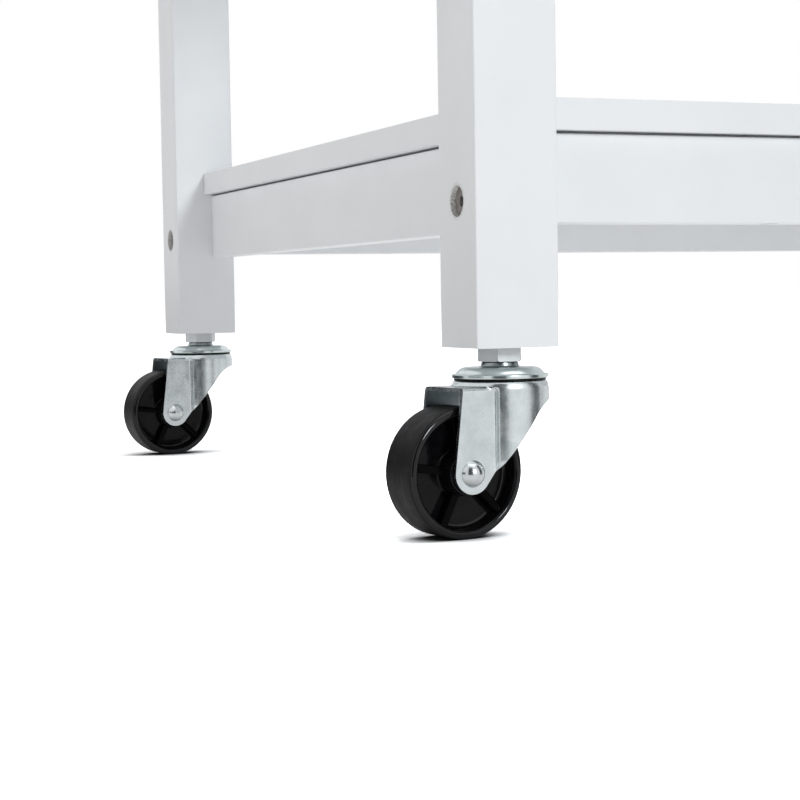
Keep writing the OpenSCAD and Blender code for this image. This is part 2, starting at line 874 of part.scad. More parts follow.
// Blocks glued inside the drawer sides that meet the rail above the drawer when it is open
module drawer_stops() {
  color(bare)
    for (side = [0, 1])
      mirror([side, 0, 0])
        translate([-side_in_x, stop_y, side_top_z - stop_glue])
          cube([stop_t, stop_l, stop_top_z - side_top_z + stop_glue]);
}

// Disc with rounded rims, standing on the origin
module rounded_disc(r, h, rim) {
  rotate_extrude() {
    square([r - rim, h]);
    translate([0, rim])
      square([r, h - 2 * rim]);
    for (z = [rim, h - rim])
      translate([r - rim, z])
        circle(rim);
  }
}

module drawer_knobs() {
  color(brushed)
    for (x = [-knob_span / 2, knob_span / 2])
      translate([x, front_y, knob_z])
        rotate([90, 0, 0])
          difference() {
            union() {
              cylinder(d = knob_base_d, h = knob_base_h);
              cylinder(d = knob_neck_d, h = knob_out - knob_rim);
              translate([0, 0, knob_out - knob_head_h])
                rounded_disc(knob_d / 2, knob_head_h, knob_rim);
            }
            translate([0, 0, -eps])
              cylinder(d = knob_screw_d + 2 * seat_play, h = knob_bite + hole_deep);
          }
}

module knob_screws() {
  color(zinc)
    for (x = [-knob_span / 2, knob_span / 2]) {
      pin_y(x, front_y - knob_bite, knob_z, knob_screw_d, front_t + knob_bite);
      pin_y(x, box_y, knob_z, 2 * knob_screw_d, screw_head_h);
    }
}

module drawer_dowels() {
  color(bare)
    for (side = [0, 1])
      mirror([side, 0, 0])
        drawer_dowel_pins(end_dowel_d, 0);
}

// Places and headings of the casters: front left, front right, rear left, rear right
CASTERS = [
  [-leg_mid_x, -leg_mid_y, turn_front_left],
  [leg_mid_x, -leg_mid_y, turn_front_right],
  [-leg_mid_x, leg_mid_y, turn_rear_left],
  [leg_mid_x, leg_mid_y, turn_rear_right]
];

// Puts a child drawn round the swivel axis at caster i, trailing towards -X
module at_caster(i) {
  translate([CASTERS[i][0], CASTERS[i][1], 0])
    rotate([0, 0, CASTERS[i][2]])
      children();
}

// Puts a child drawn along Z round the origin on the axle of caster i
module at_axle(i) {
  at_caster(i)
    translate([-trail, 0, axle_z])
      rotate([90, 0, 0])
        children();
}

module caster_inserts() {
  color(zinc)
    for (i = [0:3])
      at_caster(i)
        translate([0, 0, leg_z])
          difference() {
            cylinder(d = insert_d, h = insert_l);
            translate([0, 0, -eps])
              cylinder(d = stem_d + 2 * seat_play, h = insert_l + past);
          }
}

// Threaded stem, with the kingpin and its riveted end below the cap
module caster_stems() {
  color(zinc)
    for (i = [0:3])
      at_caster(i) {
        translate([0, 0, brim_z])
          cylinder(d = stem_d, h = leg_z + stem_in - brim_z);
        translate([0, 0, kingpin_head_z])
          cylinder(d = kingpin_d, h = brim_z - kingpin_head_z);
        translate([0, 0, kingpin_head_z])
          cylinder(d = kingpin_head_d, h = kingpin_head_h);
      }
}

module caster_nuts() {
  corner_r = nut_af / 2 / cos(30);
  color(zinc)
    for (i = [0:3])
      translate([CASTERS[i][0], CASTERS[i][1], nut_z])
        rotate([0, 0, nut_turn])
          difference() {
            intersection() {
              cylinder(r = corner_r, h = nut_h, $fn = 6);
              union() {
                cylinder(r1 = corner_r - nut_bevel, r2 = corner_r + eps, h = nut_bevel);
                translate([0, 0, nut_bevel])
                  cylinder(r = corner_r + eps, h = nut_h - nut_bevel);
              }
            }
            translate([0, 0, -eps])
              cylinder(d = stem_d + 2 * seat_play, h = nut_h + past);
          }
}

module caster_caps() {
  color(zinc)
    for (i = [0:3])
      at_caster(i)
        rotate_extrude()
          difference() {
            polygon([
              [0, brim_z], [brim_r - brim_bevel, brim_z],
              [brim_r, brim_z + brim_bevel], [brim_r, cone_z - brim_bevel],
              [brim_r - brim_bevel, cone_z], [cone_low_r, cone_z],
              [cone_top_r, neck_z], [neck_d / 2, neck_z],
              [neck_d / 2, nut_z - neck_bevel], [neck_d / 2 - neck_bevel, nut_z], [0, nut_z]
            ]);
            square([stem_d / 2 + seat_play, nut_z + past]);
            translate([ball_ring_r, ball_z])
              circle(ball_d / 2 + ball_play);
          }
}

module caster_balls() {
  color(zinc)
    for (i = [0:3], k = [0:ball_count - 1])
      at_caster(i)
        rotate([0, 0, 360 * k / ball_count])
          translate([ball_ring_r, 0, ball_z])
            sphere(d = ball_d);
}

// Point where a line from p touches the circle round c, on the side given by 1 or -1
function tangent_point(p, c, r, side) =
  let (
    v = p - c,
    toward = atan2(v[1], v[0]),
    open = side * acos(r / norm(v))
  )
  c + r * [cos(toward + open), sin(toward + open)];

// Outlines of the fork seen from its side: X back to front, Z up
axle_at = [-trail, axle_z];
cheek_top = [-trail - cheek_top_back, tab_top_z];
slant_top = [slant_front, collar_low_z];
back_touch = tangent_point(cheek_top, axle_at, cheek_r, 1);
slant_touch = tangent_point(slant_top, axle_at, cheek_r, -1);
function slant_z(x) =
  slant_touch[1] + (x - slant_touch[0]) * (slant_top[1] - slant_touch[1])
    / (slant_top[0] - slant_touch[0]);

// Extrudes a side outline of the fork along Y between two places
module across(y_from, y_to) {
  translate([0, y_to, 0])
    rotate([90, 0, 0])
      linear_extrude(y_to - y_from)
        children();
}

module cheek_outline() {
  front = -crease_back + crease_lap;
  translate(axle_at)
    circle(cheek_r);
  polygon([
    cheek_top, back_touch, axle_at, slant_touch,
    [front, slant_z(front)], [front, tab_top_z]
  ]);
}

module web_outline() {
  polygon([
    [-crease_back, slant_z(-crease_back)], slant_top,
    [slant_front, collar_low_z + past], [-crease_back, tab_top_z]
  ]);
}

module fork(i) {
  outer_y = cheek_gap / 2 + fork_t;
  color(zinc)
    at_caster(i)
      difference() {
        union() {
          // Round collar with its closed top
          rotate_extrude()
            difference() {
              union() {
                translate([0, collar_low_z])
                  square([collar_r, collar_h - collar_round]);
                translate([0, collar_low_z])
                  square([collar_r - collar_round, collar_h]);
                translate([collar_r - collar_round, collar_top_z - collar_round])
                  circle(collar_round);
              }
              translate([0, collar_low_z - past])
                square([collar_r - fork_t, collar_h - race_t + past]);
            }
          // Flat tab behind the collar
          translate([cheek_top[0], -outer_y, tab_z])
            cube([-crease_back - cheek_top[0], 2 * outer_y, fork_t]);
          // Flat cheeks
          for (side = [0, 1])
            mirror([0, side, 0])
              across(cheek_gap / 2, outer_y)
                cheek_outline();
          // Round webs between the cheeks and the collar, each with its step at the crease
          intersection() {
            difference() {
              cylinder(r = collar_r, h = collar_top_z);
              intersection() {
                translate([0, 0, -past])
                  cylinder(r = collar_r - fork_t, h = collar_top_z + 2 * past);
                translate([-crease_back + fork_t, -collar_r, -past])
                  cube([2 * collar_r, 2 * collar_r, collar_top_z + 2 * past]);
              }
            }
            across(-collar_r - past, collar_r + past)
              web_outline();
          }
        }
        // Room for the wheel behind the collar
        translate([-trail - wheel_d, -cheek_gap / 2, 0])
          cube([trail + wheel_d - crease_back + fork_t + past, cheek_gap, tab_z]);
        translate([0, 0, collar_low_z])
          cylinder(r = kingpin_d / 2 + kingpin_play, h = collar_h + past);
        rotate_extrude()
          translate([ball_ring_r, ball_z])
            circle(ball_d / 2 + ball_play);
        across(-outer_y - past, outer_y + past)
          translate(axle_at)
            circle(axle_d / 2 + seat_play);
      }
}

// Domed rivet head of base radius a and height h, standing on the origin
module dome_head(a, h) {
  r = (a * a + h * h) / (2 * h);
  intersection() {
    translate([0, 0, h - r])
      sphere(r);
    cylinder(r = a, h = h);
  }
}

module axle(i) {
  outer = cheek_gap / 2 + fork_t;
  color(zinc)
    at_axle(i) {
      translate([0, 0, -outer])
        cylinder(d = axle_d, h = 2 * outer);
      for (side = [0, 1])
        mirror([0, 0, side])
          translate([0, 0, outer])
            dome_head(axle_head_d / 2, axle_head_h);
    }
}

module wheel(i) {
  outer_r = wheel_d / 2;
  inner_r = outer_r - rim_t;
  half_w = wheel_w / 2;
  hub_half = cheek_gap / 2 - hub_play;
  rib_half = half_w - rib_sunk;
  color(black)
    at_axle(i)
      difference() {
        union() {
          rotate_extrude() {
            translate([inner_r, -half_w])
              square([rim_t - shoulder_r, wheel_w]);
            translate([inner_r, -half_w + shoulder_r])
              square([rim_t, wheel_w - 2 * shoulder_r]);
            for (z = [-half_w + shoulder_r, half_w - shoulder_r])
              translate([outer_r - shoulder_r, z])
                circle(shoulder_r);
          }
          translate([0, 0, -web_t / 2])
            cylinder(r = inner_r + rim_t / 2, h = web_t);
          translate([0, 0, -hub_half])
            cylinder(d = hub_d, h = 2 * hub_half);
          for (k = [0:rib_count - 1])
            rotate([0, 0, 360 * k / rib_count + rib_turn])
              translate([hub_d / 2 - past, -rib_t / 2, -rib_half])
                cube([inner_r - hub_d / 2 + 2 * past, rib_t, 2 * rib_half]);
        }
        translate([0, 0, -hub_half - past])
          cylinder(r = axle_d / 2 + axle_play, h = 2 * (hub_half + past));
      }
}

leg(false);  // leg_front_left
at_corner(1, 0) leg(true);  // leg_front_right
at_corner(0, 1) leg(false);  // leg_rear_left
at_corner(1, 1) leg(true);  // leg_rear_right
shelf_long_rail(lower_z);  // lower_rail_front
at_corner(0, 1) shelf_long_rail(lower_z);  // lower_rail_rear
end_rail(END_RAILS[0]);  // lower_rail_left
at_corner(1, 0) end_rail(END_RAILS[0]);  // lower_rail_right
shelf(lower_z);  // lower_shelf
shelf_long_rail(middle_z);  // middle_rail_front
at_corner(0, 1) shelf_long_rail(middle_z);  // middle_rail_rear
end_rail(END_RAILS[1]);  // middle_rail_left
at_corner(1, 0) end_rail(END_RAILS[1]);  // middle_rail_right
shelf(middle_z);  // middle_shelf
front_top_rail();  // top_rail_front
front_drawer_rail();  // drawer_rail_front
rear_apron();  // apron_rear
end_apron();  // apron_left
at_corner(1, 0) end_apron();  // apron_right
worktop();
towel_bar();
drawer_runners();
rail_bolts();
barrel_nuts();
rail_dowels();
end_dowels();
shelf_screws();
worktop_screws();
worktop_brackets();
bracket_screws();
runner_screws();
caster_inserts();
caster_stems();
caster_nuts();
caster_caps();
caster_balls();
drawer_front();
drawer_side();  // drawer_side_left
at_corner(1, 0) drawer_side();  // drawer_side_right
drawer_back();
drawer_bottom();
drawer_stops();
drawer_knobs();
knob_screws();
drawer_dowels();
fork(0);  // fork_front_left
fork(1);  // fork_front_right
fork(2);  // fork_rear_left
fork(3);  // fork_rear_right
axle(0);  // axle_front_left
axle(1);  // axle_front_right
axle(2);  // axle_rear_left
axle(3);  // axle_rear_right
wheel(0);  // wheel_front_left
wheel(1);  // wheel_front_right
wheel(2);  // wheel_rear_left
wheel(3);  // wheel_rear_right
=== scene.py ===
# %% [markdown]
# # A kitchen cart on four swivel casters
#
# The cart has square painted legs, painted rails and shelves, an oiled wood worktop, one
# drawer and a towel bar. The photograph looks at its lower left corner from low down, so
# the casters, the leg ends and the lower shelf are seen closest.
#
# The measured model comes first. It is loaded as a fixed frame, with every piece where it
# belongs. Here each piece gets its finish, and the pieces whose bends and edges are soft on
# the real cart are modelled again: the pressed steel forks, the moulded wheels, the caps over
# them and the worktop.

# %% Load the measured model
import json
import math
import bpy
import bmesh
from mathutils import Matrix, Vector


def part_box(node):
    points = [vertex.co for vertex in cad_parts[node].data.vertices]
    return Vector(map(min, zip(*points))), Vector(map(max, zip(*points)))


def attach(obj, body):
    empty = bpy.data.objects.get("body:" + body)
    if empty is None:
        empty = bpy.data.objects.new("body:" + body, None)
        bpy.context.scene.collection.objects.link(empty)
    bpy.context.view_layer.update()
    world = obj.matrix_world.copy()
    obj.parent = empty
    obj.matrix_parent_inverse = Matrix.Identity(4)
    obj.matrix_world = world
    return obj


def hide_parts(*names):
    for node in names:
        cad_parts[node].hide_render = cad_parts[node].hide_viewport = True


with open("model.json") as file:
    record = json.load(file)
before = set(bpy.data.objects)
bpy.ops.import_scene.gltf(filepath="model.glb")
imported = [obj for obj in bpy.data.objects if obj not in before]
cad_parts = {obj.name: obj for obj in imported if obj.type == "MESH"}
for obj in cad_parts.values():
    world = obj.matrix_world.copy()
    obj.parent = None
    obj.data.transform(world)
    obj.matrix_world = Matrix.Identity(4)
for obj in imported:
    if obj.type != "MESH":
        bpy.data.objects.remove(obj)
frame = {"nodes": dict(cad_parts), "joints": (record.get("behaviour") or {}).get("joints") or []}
scene = bpy.context.scene
nodes = frame["nodes"]
MM = 0.001
CORNERS = ("front_left", "front_right", "rear_left", "rear_right")
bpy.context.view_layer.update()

# %% [markdown]
# ## The camera
#
# The photograph was taken a hand's width above the floor, close to the left front leg, with
# a slightly long lens. A camera in Blender looks along its own minus Z, so it is first
# tipped up by a right angle, then turned about the upright axis. The small roll comes first
# of all, because a matrix product works from right to left.

# %% Camera
LENS_MM = 81.2
CAMERA_AT = (-0.5931, -0.8407, 0.0912)
CAMERA_TURN = -0.380
CAMERA_TIP = math.pi / 2 - 0.057
CAMERA_ROLL = -0.016
camera_data = bpy.data.cameras.new("camera")
camera_data.sensor_width = 36
camera_data.lens = LENS_MM
camera_data.clip_start = 0.01
camera = bpy.data.objects.new("camera", camera_data)
scene.collection.objects.link(camera)
camera.matrix_world = (
    Matrix.Translation(CAMERA_AT)
    @ Matrix.Rotation(CAMERA_TURN, 4, "Z")
    @ Matrix.Rotation(CAMERA_TIP, 4, "X")
    @ Matrix.Rotation(CAMERA_ROLL, 4, "Z")
)
scene.camera = camera
print("camera at", list(camera.location))

# %% [markdown]
# ## Node trees in few words
#
# Every finish is a small tree of nodes. Written out, each node takes three steps: make it,
# set its options, and fill or link its inputs. One helper does all three. An input that is
# another node's output becomes a link, and any other value is written on the socket. Three
# shorter helpers reckon with a value, stretch its range, and turn it into a grey.

# %% Helpers that make one node
def shader_node(tree, kind, inputs=None, **options):
    node = tree.nodes.new(kind)
    for option, value in options.items():
        setattr(node, option, value)
    for socket, value in (inputs or {}).items():
        if isinstance(value, bpy.types.NodeSocket):
            tree.links.new(value, node.inputs[socket])
        else:
            node.inputs[socket].default_value = value
    return node


def sum_of(tree, kind, first, second, **options):
    step = shader_node(tree, "ShaderNodeMath", {0: first, 1: second}, operation=kind, **options)
    return step.outputs[0]


def spread(tree, value, low, high, to_low=0.0, to_high=1.0):
    step = shader_node(tree, "ShaderNodeMapRange", {
        "Value": value, "From Min": low, "From Max": high, "To Min": to_low, "To Max": to_high,
    })
    return step.outputs["Result"]


def grey(tree, value):
    return shader_node(tree, "ShaderNodeCombineXYZ", {0: value, 1: value, 2: value}).outputs[0]


# %% [markdown]
# ## Light, floor and background
#
# The studio is white. The picture's background is white because the world answers a camera
# ray with plain white, while the cart itself is lit by a softer white. Glossy rays see the
# bright world too, so the plated steel looks as if it stood in that studio.
#
# The shadow of the shelf on the far leg gives the direction of the main light: it comes
# from the front, a little from the right and about twenty degrees above the horizon.

# %% The white world
WHITE = (1, 1, 1, 1)
SKY_ON_CART = 0.26
world = bpy.data.worlds.new("white_studio")
scene.world = world
world.use_nodes = True
sky = world.node_tree
sky.nodes.clear()
ray = shader_node(sky, "ShaderNodeLightPath")
seen = sum_of(sky, "ADD", ray.outputs["Is Camera Ray"], ray.outputs["Is Glossy Ray"])
seen = sum_of(sky, "ADD", seen, ray.outputs["Is Transmission Ray"], use_clamp=True)
soft_white = shader_node(sky, "ShaderNodeBackground", {"Color": WHITE, "Strength": SKY_ON_CART})
plain_white = shader_node(sky, "ShaderNodeBackground", {"Color": WHITE, "Strength": 1})
sky_mix = shader_node(sky, "ShaderNodeMixShader", {
    0: seen, 1: soft_white.outputs[0], 2: plain_white.outputs[0],
})
shader_node(sky, "ShaderNodeOutputWorld", {"Surface": sky_mix.outputs[0]})
scene.view_settings.view_transform = "Standard"
print("world ready")

# %% [markdown]
# An area lamp is a glowing card. Its size sets how soft the shadows are: the edge of the
# shelf's shadow on the far leg is a few millimetres wide, so the main lamp is a small card
# far away. A larger and weaker card on the left side opens up the side faces, and another
# one overhead lights what looks up. The steel mirrors only the first and the last, as the
# photograph shows no light patch from the left.

# %% The three lamps
LAMP_AIM = Vector((-0.3, -0.2, 0.12))
MAIN_LIGHT = (0.2045, -0.909, 0.3636)
COOL = (0.926, 0.975, 1.0)
NEUTRAL = (1.0, 1.0, 1.0)


def lamp_card(name, towards, distance, width, height, power, colour):
    lamp = bpy.data.lights.new(name, "AREA")
    lamp.shape = "RECTANGLE"
    lamp.size = width
    lamp.size_y = height
    lamp.energy = power
    lamp.color = colour
    holder = bpy.data.objects.new(name, lamp)
    scene.collection.objects.link(holder)
    towards = Vector(towards).normalized()
    turn = (-towards).to_track_quat("-Z", "Y").to_matrix().to_4x4()
    holder.matrix_world = Matrix.Translation(LAMP_AIM + towards * distance) @ turn
    return holder


lamp_card("main_lamp", MAIN_LIGHT, 7.0, 0.8, 1.6, 190, COOL)
side_lamp = lamp_card("side_lamp", (-0.90, 0.15, 0.38), 2.5, 1.2, 1.2, 10, NEUTRAL)
side_lamp.visible_glossy = False
lamp_card("top_lamp", (0.15, -0.10, 1.0), 3.0, 2.4, 2.4, 15, NEUTRAL)
print("lamps", [lamp.name for lamp in bpy.data.lights])

# %% [markdown]
# The floor is a pale sheet. Seen by the camera it is exposed so far that it turns plain
# white, and only the darkest shadows under the wheels stay. Those contact shadows are painted
# shade: an ambient occlusion pass near the wheels darkens the floor's colour there. The plated
# steel mirrors it as the same white, with the same painted shade. For the wood it is a pale
# floor with a faint glow of its own, like a light table, because the undersides in the
# photograph are nearly as bright as the sides.

# %% Floor
FLOOR_HALF = 30
FLOOR_PALE = (0.92, 0.92, 0.92, 1)
FLOOR_GLOW = 0.35
CONTACT_REACH = 0.045
CONTACT_DARK = 0.010
FLOOR_EXPOSURE = 4.6
floor_shape = bmesh.new()
bmesh.ops.create_grid(floor_shape, x_segments=1, y_segments=1, size=FLOOR_HALF)
floor_mesh = bpy.data.meshes.new("floor")
floor_shape.to_mesh(floor_mesh)
floor_shape.free()
floor = bpy.data.objects.new("floor", floor_mesh)
scene.collection.objects.link(floor)
floor_paint = bpy.data.materials.new("pale_floor")
floor_paint.use_nodes = True
ground = floor_paint.node_tree
ground.nodes.clear()
ray = shader_node(ground, "ShaderNodeLightPath")
pale = shader_node(ground, "ShaderNodeBsdfDiffuse", {"Color": FLOOR_PALE})
glow = shader_node(ground, "ShaderNodeEmission", {"Color": WHITE, "Strength": FLOOR_GLOW})
table = shader_node(ground, "ShaderNodeAddShader", {0: pale.outputs[0], 1: glow.outputs[0]})
# Painted shade: ambient occlusion darkens the floor's colour near the wheels, for camera and glossy
# rays.
contact_occlusion = shader_node(ground, "ShaderNodeAmbientOcclusion", {"Distance": CONTACT_REACH}, samples=16)
painted_contact_shade = spread(ground, contact_occlusion.outputs["AO"], 0.215, 1.06, CONTACT_DARK, 1.0)
exposure = sum_of(ground, "MULTIPLY", painted_contact_shade, FLOOR_EXPOSURE)
exposed = shader_node(ground, "ShaderNodeBsdfDiffuse", {"Color": grey(ground, exposure)})
mirrored = shader_node(ground, "ShaderNodeEmission", {"Color": grey(ground, painted_contact_shade), "Strength": 1})
glossy = sum_of(
    ground, "ADD", ray.outputs["Is Glossy Ray"], ray.outputs["Is Transmission Ray"], use_clamp=True
)
ground_mix = shader_node(ground, "ShaderNodeMixShader", {
    0: ray.outputs["Is Camera Ray"], 1: table.outputs[0], 2: exposed.outputs[0],
})
ground_mix = shader_node(ground, "ShaderNodeMixShader", {
    0: glossy, 1: ground_mix.outputs[0], 2: mirrored.outputs[0],
})
shader_node(ground, "ShaderNodeOutputMaterial", {"Surface": ground_mix.outputs[0]})
floor_mesh.materials.append(floor_paint)
print("floor", floor.dimensions[:])

# %% [markdown]
# Plated steel only looks like metal when it has something dark to mirror. Photographers
# put dark cards beside the lens for that. These cards are seen by glossy rays alone, so
# they darken bands of the steel and take no light from the painted wood. Most of them stand
# close to a caster, because the lens looks down a little: what the upright steel mirrors is
# the floor in front of it, unless a card stands nearer than that. A card's place is given
# by the caster it stands round, its bearing, with 0 in front and 90 on the right, its
# distance and width, and the heights of its lower and upper edge.

# %% Dark cards for the steel
CARD_SHADE = (0.055, 0.060, 0.065, 1)
NEAR_CASTER = (-0.301, -0.213, 0)
FAR_CASTER = (-0.301, 0.213, 0)
card_paint = bpy.data.materials.new("dark_card")
card_paint.use_nodes = True
card_tree = card_paint.node_tree
card_tree.nodes.clear()
card_glow = shader_node(card_tree, "ShaderNodeEmission", {"Color": CARD_SHADE, "Strength": 1})
shader_node(card_tree, "ShaderNodeOutputMaterial", {"Surface": card_glow.outputs[0]})


def dark_card(name, around, bearing, distance, width, low, high):
    shape = bmesh.new()
    bmesh.ops.create_grid(shape, x_segments=1, y_segments=1, size=0.5)
    bmesh.ops.transform(shape, matrix=Matrix.Diagonal((width, high - low, 1, 1)), verts=shape.verts)
    turn = math.radians(bearing)
    middle = Vector(around) + distance * Vector((math.sin(turn), -math.cos(turn), 0))
    middle.z = (low + high) / 2
    place = (
        Matrix.Translation(middle)
        @ Matrix.Rotation(turn, 4, "Z")
        @ Matrix.Rotation(math.pi / 2, 4, "X")
    )
    bmesh.ops.transform(shape, matrix=place, verts=shape.verts)
    mesh = bpy.data.meshes.new(name)
    shape.to_mesh(mesh)
    shape.free()
    mesh.materials.append(card_paint)
    card = bpy.data.objects.new(name, mesh)
    scene.collection.objects.link(card)
    card.visible_camera = False
    card.visible_diffuse = False
    card.visible_transmission = False
    card.visible_shadow = False


dark_card("card_by_lens", NEAR_CASTER, -25, 0.28, 0.18, 0.0, 0.40)
dark_card("card_right", NEAR_CASTER, 64, 0.30, 0.15, 0.0, 0.42)
dark_card("card_near_left", NEAR_CASTER, -137, 0.30, 0.20, 0.0, 0.14)
dark_card("card_low_left", NEAR_CASTER, -86, 1.0, 0.80, 0.0, 0.26)
dark_card("card_far_front", FAR_CASTER, -28, 0.28, 0.19, 0.0, 0.11)
dark_card("card_far_left", FAR_CASTER, -152, 0.30, 0.22, 0.0, 0.10)
print("dark cards placed")

# %% [markdown]
# ## Painted wood
#
# The legs and rails are sawn and sanded softwood under two coats of white satin paint. The
# paint is nearly flat, but the long fibres of the wood still show through as very faint
# stretched ripples, and the roller leaves a fine stipple. Both are a noise pattern used as
# a bump: the first is squeezed along the grain, the second is even in all directions.
#
# The corners of the wood are rounded by about half a millimetre. There the paint is thinner
# and handled most, so a mask made from the surface normal tones it a little. On a flat face
# one part of the normal is one and the others are nothing, and on a rounded corner none is.

# %% A clean finish, and the small steps that fill it
def new_finish(name):
    finish = bpy.data.materials.new(name)
    finish.use_nodes = True
    tree = finish.node_tree
    tree.nodes.clear()
    shader = shader_node(tree, "ShaderNodeBsdfPrincipled")
    shader_node(tree, "ShaderNodeOutputMaterial", {"Surface": shader.outputs[0]})
    return finish, tree, shader, shader_node(tree, "ShaderNodeTexCoord").outputs["Object"]


def coat(tree, shader, colour, roughness, skin=None):
    tree.links.new(colour, shader.inputs["Base Color"])
    tree.links.new(roughness, shader.inputs["Roughness"])
    if skin is not None:
        tree.links.new(skin, shader.inputs["Normal"])


def noise_at(tree, place, scale, detail=2.0, roughness=0.5, stretch=(1, 1, 1)):
    where = shader_node(tree, "ShaderNodeMapping", {"Vector": place, "Scale": stretch})
    noise = shader_node(tree, "ShaderNodeTexNoise", {
        "Vector": where.outputs[0], "Scale": scale, "Detail": detail, "Roughness": roughness,
    })
    return noise.outputs["Fac"]


def bump_of(tree, height, depth_mm, under=None):
    bump = shader_node(tree, "ShaderNodeBump", {
        "Height": height, "Strength": 1.0, "Distance": depth_mm * MM,
    })
    if under is not None:
        tree.links.new(under, bump.inputs["Normal"])
    return bump.outputs["Normal"]


def tone(tree, factor, dark, light):
    mix = shader_node(tree, "ShaderNodeMix", data_type="RGBA")
    tree.links.new(factor, mix.inputs[0])
    mix.inputs[6].default_value = (*dark, 1)
    mix.inputs[7].default_value = (*light, 1)
    return mix.outputs[2]


def layered(tree, factor, under, over):
    mix = shader_node(tree, "ShaderNodeMix", data_type="RGBA")
    tree.links.new(factor, mix.inputs[0])
    tree.links.new(under, mix.inputs[6])
    if isinstance(over, bpy.types.NodeSocket):
        tree.links.new(over, mix.inputs[7])
    else:
        mix.inputs[7].default_value = (*over, 1)
    return mix.outputs[2]


def corner_mask(tree, low, high):
    normal = shader_node(tree, "ShaderNodeTexCoord").outputs["Normal"]
    parts = shader_node(tree, "ShaderNodeSeparateXYZ", {0: normal}).outputs
    sizes = [sum_of(tree, "ABSOLUTE", part, 0.0) for part in parts]
    longest = sum_of(tree, "MAXIMUM", sum_of(tree, "MAXIMUM", sizes[0], sizes[1]), sizes[2])
    return spread(tree, longest, 1 - low, 1 - high)


# %% Paint over the grain of a leg or rail
PAINT_DARK = (0.806, 0.820, 0.836)
PAINT_LIGHT = (0.830, 0.843, 0.858)
PAINT_WORN = (0.70, 0.71, 0.715)
PAINT_WEAR = 0.6


def along_grain(axis, squeeze=0.05):
    stretch = [1, 1, 1]
    stretch["XYZ".index(axis)] = squeeze
    return tuple(stretch)


def paint_colour(tree, place, cloud_scale):
    clouds = noise_at(tree, place, cloud_scale, 3, 0.55)
    paint = tone(tree, spread(tree, clouds, 0.35, 0.65), PAINT_DARK, PAINT_LIGHT)
    worn = sum_of(tree, "MULTIPLY", corner_mask(tree, 0.03, 0.2), noise_at(tree, place, 160, 3))
    return layered(tree, sum_of(tree, "MULTIPLY", worn, PAINT_WEAR), paint, PAINT_WORN)


def painted_wood(name, axis):
    finish, tree, shader, place = new_finish(name)
    fibres = noise_at(tree, place, 900, 5, 0.6, along_grain(axis))
    waves = noise_at(tree, place, 90, 2, 0.5, along_grain(axis, 0.15))
    stipple = noise_at(tree, place, 1600, 2, 0.5)
    skin = bump_of(tree, fibres, 0.045)
    skin = bump_of(tree, waves, 0.08, skin)
    skin = bump_of(tree, stipple, 0.012, skin)
    satin = spread(tree, waves, 0.3, 0.7, 0.40, 0.52)
    coat(tree, shader, paint_colour(tree, place, 26), satin, skin)
    return finish


paint_long = painted_wood("paint_on_long_grain", "X")
paint_deep = painted_wood("paint_on_cross_grain", "Y")
print("painted wood finishes", paint_long.name, paint_deep.name)

# %% [markdown]
# The legs carry the frame bolts. Round each bolt hole the drill has chipped the paint, and
# the driver has scuffed it, so a ring of small raised and missing flakes surrounds the
# hole. The ring is drawn by distance from the bolt's own line, which is the same for all
# four legs once the sign of Y is dropped.

# %% Paint on the legs, chipped round the bolt holes
BOLT_LINE_Y = 0.213
BOLT_HEIGHTS = (0.127, 0.427, 0.748, 0.868)
HOLE_R = 0.006
CHIP_FROM = HOLE_R + 0.0012
CHIP_TO = HOLE_R + 0.0024
CHIP_DARK = (0.55, 0.54, 0.51)
CHIP_LIGHT = (0.92, 0.93, 0.93)
CHIP_RAGGED = 0.0022


def distance_to_bolts(tree, place):
    across = shader_node(tree, "ShaderNodeSeparateXYZ", {0: place}).outputs
    side = sum_of(tree, "SUBTRACT", sum_of(tree, "ABSOLUTE", across[1], 0.0), BOLT_LINE_Y)
    nearest = None
    for height in BOLT_HEIGHTS:
        apart = sum_of(tree, "ABSOLUTE", sum_of(tree, "SUBTRACT", across[2], height), 0.0)
        nearest = apart if nearest is None else sum_of(tree, "MINIMUM", nearest, apart)
    squares = sum_of(
        tree, "ADD", sum_of(tree, "MULTIPLY", side, side), sum_of(tree, "MULTIPLY", nearest, nearest)
    )
    return sum_of(tree, "SQRT", squares, 0.0)


def painted_leg(name):
    finish = painted_wood(name, "Z")
    tree = finish.node_tree
    shader = [node for node in tree.nodes if node.type == "BSDF_PRINCIPLED"][0]
    place = shader_node(tree, "ShaderNodeTexCoord").outputs["Object"]
    radius = distance_to_bolts(tree, place)
    flakes = noise_at(tree, place, 1500, 3, 0.6)
    ragged = sum_of(tree, "ADD", radius, sum_of(tree, "MULTIPLY", flakes, CHIP_RAGGED))
    ring = spread(tree, ragged, CHIP_FROM, CHIP_TO, 1.0, 0.0)
    colour_in = shader.inputs["Base Color"].links[0].from_socket
    normal_in = shader.inputs["Normal"].links[0].from_socket
    chipped = tone(tree, spread(tree, flakes, 0.4, 0.6), CHIP_DARK, CHIP_LIGHT)
    tree.links.new(layered(tree, ring, colour_in, chipped), shader.inputs["Base Color"])
    lip = sum_of(tree, "MULTIPLY", ring, flakes)
    tree.links.new(bump_of(tree, lip, 0.5, normal_in), shader.inputs["Normal"])
    return finish


paint_leg = painted_leg("paint_on_legs")
print("leg paint reaches", HOLE_R * 1000, "mm holes")

# %% [markdown]
# The shelves are smooth board under the same paint. Board has no fibres to show, so only
# the stipple and a slow unevenness are left.

# %% Paint on smooth board
def painted_board(name):
    finish, tree, shader, place = new_finish(name)
    slow = noise_at(tree, place, 60, 2, 0.5)
    stipple = noise_at(tree, place, 1500, 2, 0.5)
    skin = bump_of(tree, stipple, 0.012)
    skin = bump_of(tree, slow, 0.04, skin)
    satin = spread(tree, slow, 0.3, 0.7, 0.38, 0.48)
    coat(tree, shader, paint_colour(tree, place, 18), satin, skin)
    return finish


paint_board = painted_board("paint_on_board")
print("board paint ready")

